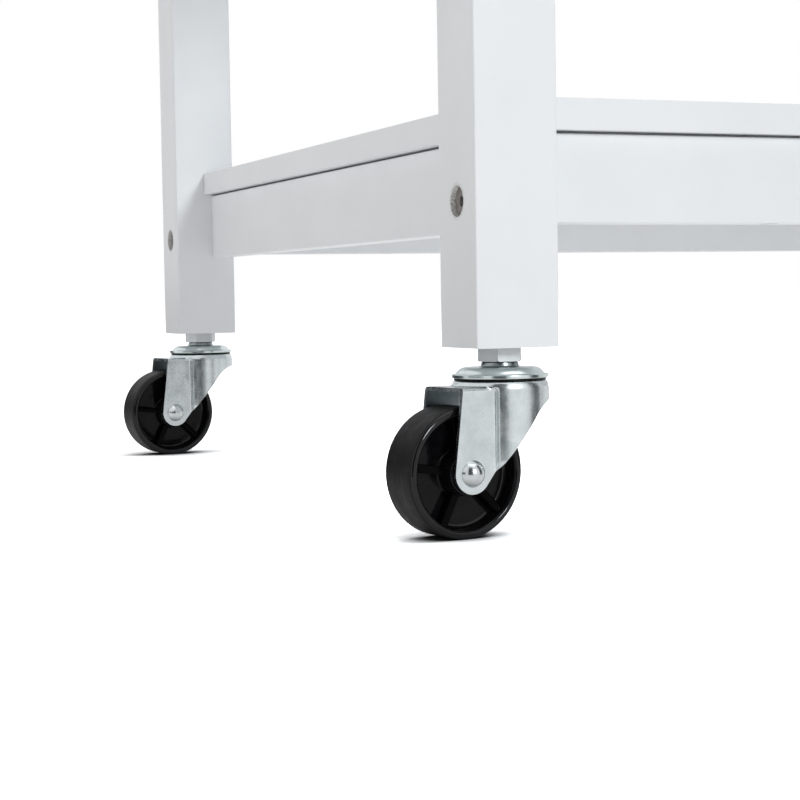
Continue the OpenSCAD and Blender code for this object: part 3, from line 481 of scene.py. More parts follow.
# %% [markdown]
# ## Oiled and bare wood
#
# The worktop is glued from long staves of oiled hardwood. Each stave has its own tone, and
# a fine dark line where it meets the next. The staves are found from the object's own Y
# coordinate: its whole part names the stave, and a random number drawn for that name shifts
# the joints along X and sets the tone. The grain is a noise pattern squeezed along X, so the
# ends of the top show it as end grain with no extra work.

# %% Oiled staves
STAVE_WIDTH = 0.044
STAVE_LENGTH = 0.52
STAVE_SHIFT = 7.0
STAVE_RINGS = 9.0
STAVE_TONES = ((0.385, 0.200, 0.085), (0.540, 0.315, 0.150))
PALE_STAVE_TONES = ((0.470, 0.270, 0.125), (0.610, 0.390, 0.205))
PORE_BROWN = (0.22, 0.11, 0.05)
GLUE_BROWN = (0.16, 0.08, 0.04)


def oiled_staves(name):
    finish, tree, shader, place = new_finish(name)
    parts = shader_node(tree, "ShaderNodeSeparateXYZ", {0: place}).outputs
    row = sum_of(tree, "DIVIDE", parts[1], STAVE_WIDTH)
    row_name = sum_of(tree, "FLOOR", row, 0.0)
    row_draw = shader_node(tree, "ShaderNodeTexWhiteNoise", {"W": row_name}, noise_dimensions="1D")
    run = sum_of(tree, "DIVIDE", parts[0], STAVE_LENGTH)
    run = sum_of(tree, "ADD", run, sum_of(tree, "MULTIPLY", row_draw.outputs["Value"], STAVE_SHIFT))
    run_name = sum_of(tree, "FLOOR", run, 0.0)
    stave_name = shader_node(tree, "ShaderNodeCombineXYZ", {0: run_name, 1: row_name})
    stave_draw = shader_node(
        tree, "ShaderNodeTexWhiteNoise", {"Vector": stave_name.outputs[0]}, noise_dimensions="3D"
    )
    shift = shader_node(tree, "ShaderNodeVectorMath", {
        0: stave_draw.outputs["Color"], 1: (0.9, 0.9, 0.9),
    }, operation="MULTIPLY")
    moved = shader_node(tree, "ShaderNodeVectorMath", {0: place, 1: shift.outputs[0]}, operation="ADD")
    rings = noise_at(tree, moved.outputs[0], 70, 4, 0.55, (0.09, 1, 1))
    rings = sum_of(tree, "PINGPONG", sum_of(tree, "MULTIPLY", rings, STAVE_RINGS), 1.0)
    pores = noise_at(tree, moved.outputs[0], 1500, 3, 0.6, (0.03, 1, 1))
    wood = tone(tree, rings, *STAVE_TONES)
    lighter = tone(tree, rings, *PALE_STAVE_TONES)
    wood = layered(tree, stave_draw.outputs["Value"], wood, lighter)
    wood = layered(tree, spread(tree, pores, 0.52, 0.70, 0.0, 0.55), wood, PORE_BROWN)
    side_line = sum_of(tree, "PINGPONG", row, 0.5)
    end_line = sum_of(tree, "PINGPONG", run, 0.5)
    glue = sum_of(
        tree, "MAXIMUM",
        spread(tree, side_line, 0.0, 0.007, 1.0, 0.0), spread(tree, end_line, 0.0, 0.0006, 1.0, 0.0),
    )
    wood = layered(tree, sum_of(tree, "MULTIPLY", glue, 0.6), wood, GLUE_BROWN)
    skin = bump_of(tree, pores, 0.06)
    skin = bump_of(tree, rings, 0.03, skin)
    coat(tree, shader, wood, spread(tree, pores, 0.4, 0.7, 0.40, 0.58), skin)
    return finish


oiled_top = oiled_staves("oiled_staves")
print("staves of", STAVE_WIDTH, "by", STAVE_LENGTH, "m")

# %% [markdown]
# The drawer box, its runners and the dowels are plain sanded wood that nobody painted. Its
# growth rings are soft bands along the grain, and small dark pores break them up.

# %% Bare wood
BOARD_RINGS = 7.0
BOARD_TONES = ((0.560, 0.400, 0.235), (0.700, 0.545, 0.355))


def bare_wood(name, axis):
    finish, tree, shader, place = new_finish(name)
    rings = noise_at(tree, place, 60, 3, 0.5, along_grain(axis, 0.06))
    rings = sum_of(tree, "PINGPONG", sum_of(tree, "MULTIPLY", rings, BOARD_RINGS), 1.0)
    pores = noise_at(tree, place, 1300, 3, 0.6, along_grain(axis, 0.03))
    wood = tone(tree, rings, *BOARD_TONES)
    wood = layered(tree, spread(tree, pores, 0.55, 0.72, 0.0, 0.45), wood, (0.40, 0.26, 0.14))
    coat(tree, shader, wood, spread(tree, pores, 0.4, 0.7, 0.60, 0.75), bump_of(tree, pores, 0.07))
    return finish


bare_long = bare_wood("bare_wood_long", "X")
bare_deep = bare_wood("bare_wood_deep", "Y")
print("bare wood ready")

# %% [markdown]
# ## Plated steel
#
# The casters are pressed from sheet steel and zinc plated. New zinc is bright with a faint
# cool green cast, a little cloudy, and peppered with fine grain where the sheet was drawn.
# A metal has no colour of its own beside its reflection, so the clouds go into both the
# tone and the roughness, and the grain goes into the bump.

# %% Zinc plate
def zinc_plate(name, dark, light, smooth, rough, grain):
    finish, tree, shader, place = new_finish(name)
    clouds = noise_at(tree, place, 130, 4, 0.6)
    drawn = noise_at(tree, place, 420, 3, 0.6, (1, 1, 0.25))
    speck = noise_at(tree, place, 2400, 3, 0.65)
    metal = tone(tree, spread(tree, clouds, 0.35, 0.65), dark, light)
    shader.inputs["Metallic"].default_value = 1.0
    blur = sum_of(tree, "MULTIPLY", sum_of(tree, "ADD", clouds, drawn), 0.5)
    skin = bump_of(tree, drawn, 0.02 * grain)
    skin = bump_of(tree, speck, 0.006 * grain, skin)
    coat(tree, shader, metal, spread(tree, blur, 0.35, 0.65, smooth, rough), skin)
    return finish


caster_zinc = zinc_plate("caster_zinc", (0.575, 0.62, 0.635), (0.67, 0.715, 0.73), 0.20, 0.32, 1.0)
# Painted shade: a darker zinc for the inside of the forks, where the hollow lies in shade.
inner_zinc_painted_shade = zinc_plate("caster_inner_zinc_painted_shade", (0.27, 0.305, 0.32), (0.36, 0.40, 0.42), 0.28, 0.40, 1.0)
head_zinc = zinc_plate("caster_head_zinc", (0.59, 0.655, 0.66), (0.69, 0.755, 0.76), 0.18, 0.28, 0.7)
# Painted shade: the necks get a darker zinc, standing for the shade under the nut.
neck_zinc_painted_shade = zinc_plate("caster_neck_zinc_painted_shade", (0.20, 0.225, 0.23), (0.30, 0.33, 0.335), 0.16, 0.26, 0.7)
nut_zinc = zinc_plate("caster_nut_zinc", (0.54, 0.565, 0.58), (0.62, 0.645, 0.66), 0.38, 0.52, 0.6)
rivet_zinc = zinc_plate("rivet_zinc", (0.55, 0.58, 0.59), (0.66, 0.69, 0.70), 0.16, 0.28, 0.5)
screw_zinc = zinc_plate("screw_zinc", (0.50, 0.51, 0.50), (0.60, 0.61, 0.60), 0.25, 0.42, 1.0)
print("zinc finishes ready")

# %% [markdown]
# The bolt heads in the legs are duller. They are blackened steel whose face was turned on a
# lathe, and driving them in has rubbed brown-grey streaks down the face.

# %% Bolt heads, knobs and bearing balls
def streaked_bolt(name):
    finish, tree, shader, place = new_finish(name)
    streaks = noise_at(tree, place, 1500, 4, 0.65, (1, 1, 0.16))
    patches = noise_at(tree, place, 420, 3, 0.6)
    metal = tone(tree, spread(tree, streaks, 0.38, 0.62), (0.17, 0.155, 0.15), (0.46, 0.43, 0.41))
    metal = layered(tree, spread(tree, patches, 0.5, 0.7, 0.0, 0.6), metal, (0.16, 0.11, 0.10))
    shader.inputs["Metallic"].default_value = 0.55
    worn = spread(tree, streaks, 0.35, 0.65, 0.38, 0.62)
    coat(tree, shader, metal, worn, bump_of(tree, streaks, 0.1))
    return finish


def satin_knob(name):
    finish, tree, shader, place = new_finish(name)
    brushed = noise_at(tree, place, 2200, 3, 0.6, (1, 0.08, 1))
    smears = noise_at(tree, place, 90, 3, 0.55)
    metal = tone(tree, spread(tree, smears, 0.35, 0.65), (0.50, 0.49, 0.47), (0.58, 0.575, 0.56))
    shader.inputs["Metallic"].default_value = 1.0
    satin = spread(tree, smears, 0.3, 0.7, 0.26, 0.38)
    coat(tree, shader, metal, satin, bump_of(tree, brushed, 0.006))
    return finish


# Grease and painted shade: the balls are near black, so that the race gap between cap and collar reads
# dark.
def greased_ball_and_gap_shade(name):
    finish, tree, shader, place = new_finish(name)
    film = noise_at(tree, place, 500, 3, 0.6)
    metal = tone(tree, spread(tree, film, 0.4, 0.6), (0.004, 0.004, 0.004), (0.018, 0.017, 0.015))
    shader.inputs["Metallic"].default_value = 0.5
    shader.inputs["Specular IOR Level"].default_value = 0.2
    coat(tree, shader, metal, spread(tree, film, 0.3, 0.7, 0.30, 0.50))
    return finish


bolt_face = streaked_bolt("streaked_bolt")
knob_metal = satin_knob("satin_knob")
ball_steel_and_gap_shade = greased_ball_and_gap_shade("greased_ball_and_gap_shade")
print("bolts, knobs and balls ready")

# %% [markdown]
# ## Moulded black plastic
#
# The wheels are one moulding. The hollow sides came out of a polished mould and are glossy,
# most of all on the shoulder. The ribs are given a near black, less glossy finish, which is
# painted shade that sets them off from the web. The tread was left dull and carries fine
# lines that run round it. Those lines follow the wheel and not the room, so they are drawn
# from a number stored on every vertex of the wheel: how far it lies across the tread.

# %% Gloss for the sides, a dull coat for the tread
def moulded_gloss(name, dark, light, shine):
    finish, tree, shader, place = new_finish(name)
    flow = noise_at(tree, place, 160, 3, 0.55)
    dust = noise_at(tree, place, 3200, 2, 0.6)
    black = tone(tree, spread(tree, flow, 0.35, 0.65), dark, light)
    black = layered(tree, spread(tree, dust, 0.68, 0.80, 0.0, 0.15), black, (0.04, 0.04, 0.04))
    shader.inputs["Specular IOR Level"].default_value = shine
    coat(tree, shader, black, spread(tree, flow, 0.3, 0.7, 0.06, 0.12), bump_of(tree, flow, 0.06))
    return finish


def dull_tread(name):
    finish, tree, shader, place = new_finish(name)
    across = shader_node(tree, "ShaderNodeAttribute", attribute_name="across").outputs["Fac"]
    lines = shader_node(
        tree, "ShaderNodeTexNoise", {"W": across, "Scale": 1400.0, "Detail": 3.0},
        noise_dimensions="1D",
    ).outputs["Fac"]
    scuffs = noise_at(tree, place, 240, 4, 0.6)
    pits = noise_at(tree, place, 2200, 3, 0.6)
    black = tone(tree, spread(tree, lines, 0.3, 0.7), (0.004, 0.004, 0.0045), (0.010, 0.010, 0.011))
    black = layered(tree, spread(tree, scuffs, 0.55, 0.75, 0.0, 0.5), black, (0.026, 0.026, 0.028))
    shader.inputs["Specular IOR Level"].default_value = 0.16
    skin = bump_of(tree, lines, 0.03)
    skin = bump_of(tree, pits, 0.02, skin)
    coat(tree, shader, black, spread(tree, scuffs, 0.3, 0.7, 0.42, 0.60), skin)
    return finish


wheel_gloss = moulded_gloss("moulded_gloss", (0.003, 0.003, 0.0035), (0.006, 0.006, 0.007), 0.12)
wheel_lip = moulded_gloss("moulded_lip", (0.004, 0.004, 0.0045), (0.008, 0.008, 0.009), 0.32)
# Painted shade: the ribs are darker and duller than the web, so that they read black.
wheel_rib_painted_shade = moulded_gloss("moulded_rib_painted_shade", (0.001, 0.001, 0.001), (0.002, 0.002, 0.002), 0.03)
wheel_dull = dull_tread("dull_tread")
print("plastic ready")

# %% [markdown]
# ## Dressing the measured pieces
#
# Most of the measured pieces already have the right shape. They keep it, and get a finish
# in the place of the plain colour that they came with. The grain of each finish runs along
# the piece: upright in the legs, left to right in the long rails, front to back in the ends.

# %% Hand out the finishes
NAMES_OF = (
    (paint_long, "lower_rail_front lower_rail_rear middle_rail_front middle_rail_rear"),
    (paint_long, "top_rail_front drawer_rail_front apron_rear drawer_front"),
    (paint_deep, "lower_rail_left lower_rail_right middle_rail_left middle_rail_right"),
    (paint_deep, "apron_left apron_right towel_bar"),
    (paint_board, "lower_shelf middle_shelf"),
    (oiled_top, "worktop"),
    (bare_long, "rail_dowels drawer_back drawer_bottom"),
    (bare_deep, "drawer_runners end_dowels drawer_side_left drawer_side_right"),
    (bare_deep, "drawer_stops drawer_dowels"),
    (screw_zinc, "barrel_nuts shelf_screws worktop_screws worktop_brackets bracket_screws"),
    (screw_zinc, "runner_screws knob_screws caster_inserts"),
    (head_zinc, "caster_stems caster_caps"),
    (nut_zinc, "caster_nuts"), (ball_steel_and_gap_shade, "caster_balls"),
    (bolt_face, "rail_bolts"), (knob_metal, "drawer_knobs"),
)
FINISH_OF = {name: finish for finish, names in NAMES_OF for name in names.split()}
for corner in CORNERS:
    FINISH_OF["leg_" + corner] = paint_leg
    FINISH_OF["fork_" + corner] = caster_zinc
    FINISH_OF["axle_" + corner] = rivet_zinc
    FINISH_OF["wheel_" + corner] = wheel_gloss
for node_name, node in nodes.items():
    node.material_slots[0].material = FINISH_OF[node_name]
print(len(nodes), "measured pieces dressed")

# %% [markdown]
# ## Making a piece
#
# Each new piece starts as a bmesh, which is a mesh that can be worked on freely. One helper
# ends the work the same way for all: close doubled points, turn the faces outwards, shade
# smoothly with sharp edges kept, and tell the frame which body carries the piece.
#
# A bevel rounds the edges that it is given. Python keeps the members of a set in no fixed
# order, so what goes to an operator is listed in the mesh's own order. Then every run of the
# script gives the same piece.

# %% From a bmesh to a finished piece
DOUBLED = 0.002 * MM


def edges_at(shape, verts):
    verts = set(verts)
    return [edge for edge in shape.edges if verts.intersection(edge.verts)]


def soften(shape, edges, offset, segments=5):
    bmesh.ops.bevel(
        shape, geom=edges, offset=offset, offset_type="OFFSET", segments=segments, profile=0.5,
        affect="EDGES", material=-1,
    )


def finished_piece(name, shape, body, finishes, sharp=35):
    bmesh.ops.remove_doubles(shape, verts=shape.verts, dist=DOUBLED)
    bmesh.ops.recalc_face_normals(shape, faces=shape.faces)
    for face in shape.faces:
        face.smooth = True
    mesh = bpy.data.meshes.new(name)
    shape.to_mesh(mesh)
    shape.free()
    mesh.set_sharp_from_angle(angle=math.radians(sharp))
    for finish in finishes:
        mesh.materials.append(finish)
    piece = bpy.data.objects.new(name, mesh)
    scene.collection.objects.link(piece)
    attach(piece, body)
    return piece


# %% [markdown]
# A turned piece is a profile swept once round an axis. The profile is given as a list of
# corners: radius, height, and how much the corner is rounded, all in millimetres. The
# corners are rounded before the sweep, as vertex bevels on the bare outline.

# %% Turned shapes
def turned(corners, steps=128):
    shape = bmesh.new()
    points = [shape.verts.new((radius * MM, 0, height * MM)) for radius, height, soft in corners]
    for first, second in zip(points, points[1:] + points[:1]):
        shape.edges.new((first, second))
    for point, (radius, height, soft) in zip(points, corners):
        if soft > 0:
            bmesh.ops.bevel(
                shape, geom=[point], offset=soft * MM, offset_type="OFFSET", segments=5,
                profile=0.5, affect="VERTICES", material=-1,
            )
    bmesh.ops.spin(
        shape, geom=shape.verts[:] + shape.edges[:], cent=(0, 0, 0), axis=(0, 0, 1),
        dvec=(0, 0, 0), angle=2 * math.pi, steps=steps, use_merge=True,
    )
    return shape


# %% [markdown]
# Every caster stands where its two joints are: the swivel joint gives the upright axis, and
# the wheel joint gives the axle. From the two points come the direction in which the caster
# points, its trail and the axle's height, so nothing is measured twice.

# %% Where each caster stands
JOINTS = {joint["name"]: joint for joint in frame["joints"]}


def caster_place(corner):
    swivel = Vector(JOINTS["swivel_" + corner]["pos_m"])
    axle = Vector(JOINTS["wheel_" + corner]["pos_m"])
    forward = Vector((swivel.x - axle.x, swivel.y - axle.y, 0))
    trail = forward.length
    bearing = math.atan2(forward.y, forward.x)
    stand = Matrix.Translation((swivel.x, swivel.y, 0)) @ Matrix.Rotation(bearing, 4, "Z")
    return stand, trail, axle.z


for corner in CORNERS:
    TRAIL, AXLE_Z = (round(size * 1000, 3) for size in caster_place(corner)[1:])
    print(corner, "trail", TRAIL, "axle", AXLE_Z)

# %% [markdown]
# ## The wheels
#
# A wheel is a rim, a thin web and a hub in one moulding, stiffened by five ribs on each
# side. The turned part is one profile. It is drawn from the bore outwards on one side, over
# the tread, and back on the other side. The corner where the web meets the rim is a soft
# fillet, and the inner edge of the rim is a small bevel that catches a thin arc of light.

# %% One wheel, lying on its side
WHEEL_R = 25.0
WHEEL_HALF = 9.75
HUB_R = 8.5
HUB_HALF = 11.2
BORE_R = 3.06
RIM_IN = 21.6
WEB_HALF = 3.0
GROOVE_HALF = 2.2
GROOVE_DEPTH = 0.05
RIB_HALF = 7.5
RIB_T = 3.2
RIB_BITE = 0.8
RIB_EDGE = 0.5
RIB_COUNT = 5
RIB_TURN = 28
TREAD_FROM = 24.5
LIP_FROM = 22.3
LIP_SIDE = 8.9
FILLET_FROM = 19.5
FILLET_SIDE = 4.6
TREAD_FINISH = 1
LIP_FINISH = 2
RIB_FINISH = 3


def wheel_half(side):
    return [
        (BORE_R, side * HUB_HALF, 0.2), (HUB_R, side * HUB_HALF, 0.6),
        (HUB_R + 0.3, side * WEB_HALF, 1.0), (RIM_IN - 0.5, side * WEB_HALF, 1.2),
        (RIM_IN, side * (WHEEL_HALF - 0.9), 0.3), (RIM_IN + 0.9, side * WHEEL_HALF, 0.35),
        (WHEEL_R, side * WHEEL_HALF, 1.8),
        (WHEEL_R, side * (GROOVE_HALF + 0.4), 0.1), (WHEEL_R - GROOVE_DEPTH, side * GROOVE_HALF, 0.1),
    ]


def wheel_shape():
    shape = turned(wheel_half(1) + list(reversed(wheel_half(-1))), steps=144)
    for number in range(RIB_COUNT):
        rib = bmesh.ops.create_cube(shape, size=1)["verts"]
        length = (RIM_IN - HUB_R + 2 * RIB_BITE) * MM
        middle = (RIM_IN + HUB_R) / 2
        sizes = Matrix.Diagonal((length, RIB_T * MM, 2 * RIB_HALF * MM, 1))
        turn = Matrix.Rotation(math.radians(RIB_TURN + number * 360 / RIB_COUNT), 4, "Z")
        place = turn @ Matrix.Translation((middle * MM, 0, 0)) @ sizes
        bmesh.ops.transform(shape, matrix=place, verts=rib)
        edges = edges_at(shape, rib)
        for edge in edges:
            for face in edge.link_faces:
                face.material_index = RIB_FINISH
        along = [edge for edge in edges if abs(edge.calc_length() - length) < 0.01 * MM]
        soften(shape, along, RIB_EDGE * MM, segments=3)
    return shape


def mark_tread(shape):
    across = shape.verts.layers.float.new("across")
    for vert in shape.verts:
        vert[across] = vert.co.z
    for face in shape.faces:
        middle = face.calc_center_median()
        out = math.hypot(middle.x, middle.y) / MM
        side = abs(middle.z) / MM
        if out > TREAD_FROM:
            face.material_index = TREAD_FINISH
        elif out > LIP_FROM and side > LIP_SIDE:
            face.material_index = LIP_FINISH
        elif out > FILLET_FROM and side < FILLET_SIDE and face.material_index != RIB_FINISH:
            face.material_index = LIP_FINISH


wheel_pieces = []
for corner in CORNERS:
    stand, trail, axle_height = caster_place(corner)
    shape = wheel_shape()
    mark_tread(shape)
    upright = Matrix.Translation((-trail, 0, axle_height)) @ Matrix.Rotation(math.pi / 2, 4, "X")
    bmesh.ops.transform(shape, matrix=stand @ upright, verts=shape.verts)
    wheel = finished_piece(
        "wheel_moulding_" + corner, shape, "wheel_" + corner,
        [wheel_gloss, wheel_dull, wheel_lip, wheel_rib_painted_shade],
    )
    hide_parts("wheel_" + corner)
    wheel_pieces.append(wheel)
print("wheels", [len(wheel.data.polygons) for wheel in wheel_pieces])

# %% [markdown]
# ## The pressed forks
#
# A fork is cut from one sheet of steel and pressed over a tool. It starts round at the top,
# where it holds the ball race, and runs down into two flat cheeks that hold the axle. Where
# round wall and flat cheek meet there is a soft crease, and every bend is rounded, because
# sheet steel can't be folded sharply.
#
# The way to get such a form is the press's own: make the tool, then lay the sheet over it.
# The tool is a round drum cut off at the crease, a blunt cone on top of it, and a box, pushed
# into each other. The drum narrows towards its foot, so that the crease fades out there. A
# voxel remesh melts them into one skin of small even squares, and a few rounds of smoothing
# soften the creases. The skin is then trimmed to the fork's outline with flat cuts, and given
# the sheet's thickness.

# %% The press tool as one smooth skin
COLLAR_R = 18.8
COLLAR_TOP = 59.0
COLLAR_LOW = 51.6
TAB_TOP = 57.0
CHEEK_OUT = 13.5
CREASE = -11.0
SHEET_T = 1.6
TOOL_LOW = 8.0
SHOULDER_Z = 56.6
SHOULDER_R = 18.0
SMOOTH_ROUNDS = 5
TAPER_TOP = 28.5
TAPER_LOW_R = 11.8
COLLAR_EDGE = 0.7
TAB_EDGE = 1.5
BOX_L = 30.0
BOX_X = -21.0
VOXEL = 0.42
NEAR = 0.1
CUT_DIST = 0.0001


def drum(tool, low, high, low_r=COLLAR_R, high_r=COLLAR_R):
    return bmesh.ops.create_cone(
        tool, cap_ends=True, segments=160, radius1=low_r, radius2=high_r, depth=high - low,
        matrix=Matrix.Translation((0, 0, (high + low) / 2)),
    )["verts"]


def edges_above(tool, verts, height):
    edges = edges_at(tool, verts)
    return [edge for edge in edges if min(vert.co.z for vert in edge.verts) > height - NEAR]


def tool_skin():
    tool = bmesh.new()
    drum(tool, TOOL_LOW, TAPER_TOP, low_r=TAPER_LOW_R)
    drum(tool, TAPER_TOP, SHOULDER_Z)
    everything = tool.verts[:] + tool.edges[:] + tool.faces[:]
    bmesh.ops.bisect_plane(
        tool, geom=everything, dist=CUT_DIST, plane_co=(CREASE, 0, 0), plane_no=(1, 0, 0),
        clear_inner=True,
    )
    bmesh.ops.holes_fill(tool, edges=[edge for edge in tool.edges if edge.is_boundary], sides=0)
    disc = drum(tool, SHOULDER_Z, COLLAR_TOP, high_r=SHOULDER_R)
    soften(tool, edges_above(tool, disc, COLLAR_TOP), COLLAR_EDGE)
    box = bmesh.ops.create_cube(tool, size=1)["verts"]
    sizes = Matrix.Diagonal((BOX_L, 2 * CHEEK_OUT, TAB_TOP - TOOL_LOW, 1))
    middle = Matrix.Translation((BOX_X, 0, (TAB_TOP + TOOL_LOW) / 2))
    bmesh.ops.transform(tool, matrix=middle @ sizes, verts=box)
    bends = [
        edge for edge in edges_above(tool, box, TAB_TOP)
        if abs(edge.verts[0].co.y - edge.verts[1].co.y) < NEAR
    ]
    soften(tool, bends, TAB_EDGE)
    mesh = bpy.data.meshes.new("press_tool")
    tool.to_mesh(mesh)
    tool.free()
    holder = bpy.data.objects.new("press_tool", mesh)
    scene.collection.objects.link(holder)
    melt = holder.modifiers.new("melt", "REMESH")
    melt.mode = "VOXEL"
    melt.voxel_size = VOXEL
    skin = bmesh.new()
    skin.from_object(holder, bpy.context.evaluated_depsgraph_get())
    bpy.data.objects.remove(holder)
    bpy.data.meshes.remove(mesh)
    for _ in range(SMOOTH_ROUNDS):
        bmesh.ops.smooth_vert(
            skin, verts=skin.verts, factor=0.5, use_axis_x=True, use_axis_y=True, use_axis_z=True
        )
    return skin


fork_skin = tool_skin()
print("press tool skin", len(fork_skin.faces), "faces")

# %% [markdown]
# The outline of the fork, seen from its side, is a round foot of 7.7 mm about the axle, a
# straight back edge up to the tab, and a long slanted front edge up to the collar. Both
# straight edges touch the foot's circle. A tangent point is found from the distance to the
# circle's centre, and each cut is a plane that throws away what lies outside of it.
#
# Below the collar the slanted edge flares out in a hollow curve to meet the round wall. A
# hollow curve can't be made by throwing away after each cut. There the cuts only split the
# squares, and afterwards everything beyond all of the planes is removed at once.

# %% Trim the skin to the fork's outline
FOOT_R = 7.7
FOOT_CUTS = 17
CUT_LOW = 12.0
TAB_BACK = -TRAIL - 3.9
SLANT_FRONT = 8.8
FLARE_R = 16.0
FLARE_CUTS = 6
WEB_ONLY = CREASE - 3
EVERYWHERE = -100.0


def touch_angle(from_x, from_z, side):
    away_x = from_x + TRAIL
    away_z = from_z - AXLE_Z
    opening = math.acos(FOOT_R / math.hypot(away_x, away_z))
    return math.atan2(away_z, away_x) + side * opening


def outward(angle):
    return Vector((math.cos(angle), 0, math.sin(angle)))


def cut_with_plane(skin, through, normal, throw_away, from_x=EVERYWHERE):
    faces = [face for face in skin.faces if face.calc_center_median().x > from_x]
    touched = {part for face in faces for part in (*face.verts, *face.edges)}
    parts = [part for part in (*skin.verts, *skin.edges) if part in touched]
    bmesh.ops.bisect_plane(
        skin, geom=parts + faces, dist=CUT_DIST, plane_co=through, plane_no=normal,
        clear_outer=throw_away,
    )


back_angle = touch_angle(TAB_BACK, TAB_TOP, 1)
slant_angle = touch_angle(SLANT_FRONT, COLLAR_LOW, -1)
foot = Vector((-TRAIL, 0, AXLE_Z))
cut_with_plane(fork_skin, Vector((0, 0, CUT_LOW)), Vector((0, 0, -1)), True)
turn_round = slant_angle + 2 * math.pi - back_angle
for number in range(FOOT_CUTS):
    angle = back_angle + turn_round * number / FOOT_CUTS
    cut_with_plane(fork_skin, foot + FOOT_R * outward(angle), outward(angle), True)
slant_point = foot + FOOT_R * outward(slant_angle)
slant_normal = outward(slant_angle)
flare_z = COLLAR_LOW - FLARE_R
flare_x = slant_point.x + (FLARE_R - (flare_z - slant_point.z) * slant_normal.z) / slant_normal.x
flare = Vector((flare_x, 0, flare_z))
flare_planes = []
for number in range(FLARE_CUTS + 1):
    angle = math.pi / 2 + (slant_angle + math.pi / 2) * number / FLARE_CUTS
    normal = -outward(angle)
    through = flare - FLARE_R * normal
    flare_planes.append((through, normal))
    cut_with_plane(fork_skin, through, normal, False, WEB_ONLY if number < FLARE_CUTS else EVERYWHERE)
waste = [
    face for face in fork_skin.faces
    if all((face.calc_center_median() - through).dot(normal) > 0 for through, normal in flare_planes)
]
bmesh.ops.delete(fork_skin, geom=waste, context="FACES")
print("trimmed skin", len(fork_skin.faces), "faces")

# %% [markdown]
# A cut through small squares leaves slivers along the edge. Each inner point that lies very
# close to the cut is welded onto the cut, which keeps the edge straight and clean. Then the
# middle of the top, hidden under the cap, is opened for the ball race.

# %% Clean the cut edges and open the top
SLIVER = 0.24
WELD_ROUNDS = 3
RACE_HOLE_R = 14.5


def weld_slivers(skin, reach):
    targets = {}
    for edge in skin.edges:
        if edge.calc_length() > reach:
            continue
        first, second = edge.verts
        if first in targets or second in targets:
            continue
        if first in targets.values() or second in targets.values():
            continue
        if second.is_boundary:
            targets[first] = second
        elif first.is_boundary:
            targets[second] = first
    bmesh.ops.weld_verts(skin, targetmap=targets)
    return len(targets)


welded = sum(weld_slivers(fork_skin, SLIVER) for _ in range(WELD_ROUNDS))
waste = []
for face in fork_skin.faces:
    middle = face.calc_center_median()
    if middle.z > COLLAR_TOP - 1 and math.hypot(middle.x, middle.y) < RACE_HOLE_R:
        waste.append(face)
bmesh.ops.delete(fork_skin, geom=waste, context="FACES")
bmesh.ops.recalc_face_normals(fork_skin, faces=fork_skin.faces)
bmesh.ops.transform(fork_skin, matrix=Matrix.Scale(MM, 4), verts=fork_skin.verts)
for face in fork_skin.faces:
    face.smooth = True
skin_mesh = bpy.data.meshes.new("fork_skin")
fork_skin.to_mesh(skin_mesh)
fork_skin.free()
skin_mesh.materials.append(caster_zinc)
skin_mesh.materials.append(inner_zinc_painted_shade)
print("welded", welded, "slivers")

# %% [markdown]
# Solidify gives the skin its thickness, measured inwards so that the outside stays where it
# is. The wall's own edge is a narrow face all round the cut, and a small bevel breaks it, as
# tumbling breaks the edge of the real part. The inside gets a darker zinc, which is painted
# shade for the hollow of the fork. The ball race is a turned ring under the top.

# %% One fork for each corner
BROKEN_EDGE = 0.22
BROKEN_FROM = math.radians(55)


def fork_shape():
    holder = bpy.data.objects.new("fork_sheet", skin_mesh)
    scene.collection.objects.link(holder)
    wall = holder.modifiers.new("wall", "SOLIDIFY")
    wall.thickness = SHEET_T * MM
    wall.offset = -1
    wall.material_offset = 1
    break_edge = holder.modifiers.new("break_edge", "BEVEL")
    break_edge.width = BROKEN_EDGE * MM
    break_edge.segments = 2
    break_edge.limit_method = "ANGLE"
    break_edge.angle_limit = BROKEN_FROM
    shape = bmesh.new()
    shape.from_object(holder, bpy.context.evaluated_depsgraph_get())
    bpy.data.objects.remove(holder)
    return shape


def race_ring():
    return turned([
        (4.2, 55.6, 0.2), (15.9, 55.6, 0.3), (15.9, 57.5, 0.2), (13.2, 57.5, 0.3),
        (11.0, 57.0, 0.8), (8.8, 57.5, 0.3), (4.2, 57.5, 0.2),
    ], steps=72)


fork_pieces = []
for corner in CORNERS:
    stand = caster_place(corner)[0]
    shape = fork_shape()
    ring = race_ring()
    ring_mesh = bpy.data.meshes.new("race_ring")
    ring.to_mesh(ring_mesh)
    ring.free()
    shape.from_mesh(ring_mesh)
    bpy.data.meshes.remove(ring_mesh)
    bmesh.ops.transform(shape, matrix=stand, verts=shape.verts)
    fork = finished_piece(
        "fork_pressing_" + corner, shape, "swivel_" + corner,
        [caster_zinc, inner_zinc_painted_shade], sharp=40,
    )
    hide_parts("fork_" + corner)
    fork_pieces.append(fork)
print("forks", [len(fork.data.polygons) for fork in fork_pieces])

# %% [markdown]
# ## The caps
#
# The cap over the balls is turned like the wheels: a flat brim, a short cone and a neck. Its
# edges are softened, and the undercut at the top of the neck keeps a dark line below the nut.
# The neck is given a darker zinc than the cap, as painted shade under the nut. Between brim
# and collar runs a thin black band, painted shade of the gap there. One piece holds the four
# caps, as in the measured model, and one the four bands.

# %% Four caps and four bands of grease
CAP_NECK_Z = 0.0641


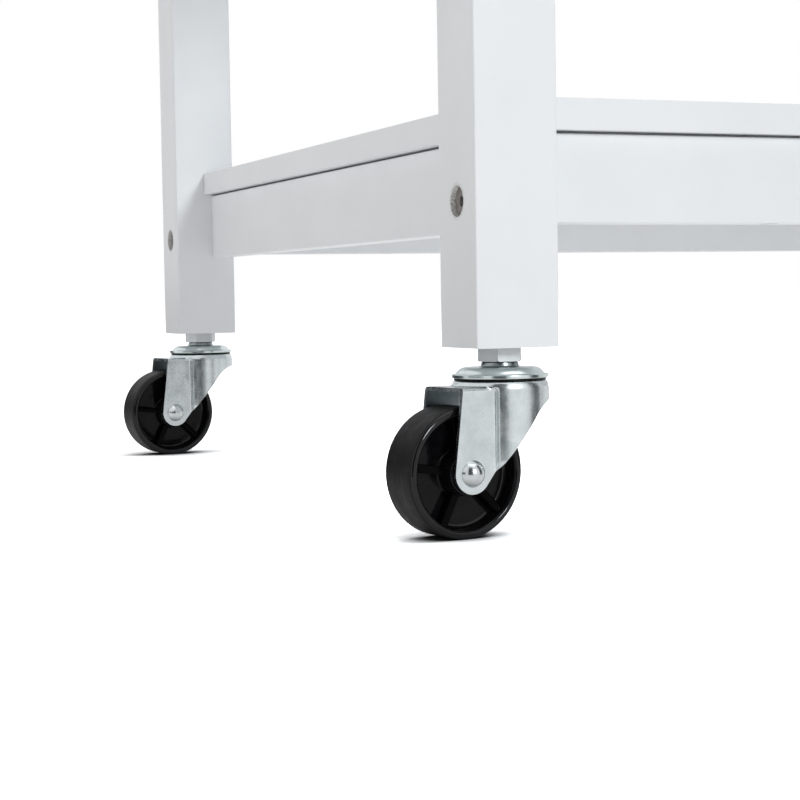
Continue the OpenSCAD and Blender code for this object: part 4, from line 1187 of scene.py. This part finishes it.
def cap_shape():
    return turned([
        (5.1, 59.9, 0), (8.9, 59.9, 0.2), (9.6, 61.6, 0.8), (12.4, 61.6, 0.8), (13.1, 59.9, 0.2),
        (18.5, 59.9, 0.15), (18.5, 61.3, 0.25), (17.2, 61.4, 0.4), (15.1, 64.0, 1.8),
        (7.5, 64.0, 0.5), (7.15, 65.3, 0.3), (7.05, 65.75, 0.2), (6.4, 66.05, 0.1), (5.1, 66.05, 0),
    ])


# Painted shade: the neck faces take the darker zinc.
def paint_shade_on_necks(piece):
    for polygon in piece.data.polygons:
        if polygon.center.z > CAP_NECK_Z:
            polygon.material_index = 1


# Painted shade: a black ring that fills the gap between brim and collar, so the gap reads dark.
def gap_shade_band():
    return turned([(17.0, 59.05, 0), (17.7, 59.05, 0.15), (17.7, 59.85, 0.15), (17.0, 59.85, 0)])


def at_each_corner(make_shape):
    together = bmesh.new()
    for corner in CORNERS:
        stand = caster_place(corner)[0]
        one = make_shape()
        bmesh.ops.transform(one, matrix=stand, verts=one.verts)
        one_mesh = bpy.data.meshes.new("one")
        one.to_mesh(one_mesh)
        one.free()
        together.from_mesh(one_mesh)
        bpy.data.meshes.remove(one_mesh)
    return together


cap_piece = finished_piece(
    "caps_turned", at_each_corner(cap_shape), "cart", [head_zinc, neck_zinc_painted_shade]
)
paint_shade_on_necks(cap_piece)
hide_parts("caster_caps")
gap_shade_piece = finished_piece("gap_shade_bands", at_each_corner(gap_shade_band), "cart", [ball_steel_and_gap_shade])
print("caps", len(cap_piece.data.polygons), "faces, bands", len(gap_shade_piece.data.polygons))

# %% [markdown]
# ## The worktop
#
# The top is sawn square, then its upright corners are rounded and all its long edges are
# eased by hand with a router. Two bevels in that order give the same thing: first the four
# upright edges, then every edge of the upper and the lower face.

# %% Worktop with eased edges
TOP_CORNER_R = 8
TOP_EDGE_R = 2
TOP_STEPS = 12


def rise(edge):
    return abs(edge.verts[0].co.z - edge.verts[1].co.z)


top_low, top_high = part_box("worktop")
top = bmesh.new()
bmesh.ops.create_cube(top, size=1)
top_size = top_high - top_low
top_place = Matrix.Translation((top_low + top_high) / 2) @ Matrix.Diagonal((*top_size, 1))
bmesh.ops.transform(top, matrix=top_place, verts=top.verts)
soften(top, [edge for edge in top.edges if rise(edge) > TOP_CORNER_R * MM], TOP_CORNER_R * MM, TOP_STEPS)
soften(top, [edge for edge in top.edges if rise(edge) < MM], TOP_EDGE_R * MM)
worktop = finished_piece("worktop_board", top, "cart", [oiled_top])
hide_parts("worktop")
print("worktop", [round(v, 4) for v in worktop.dimensions])
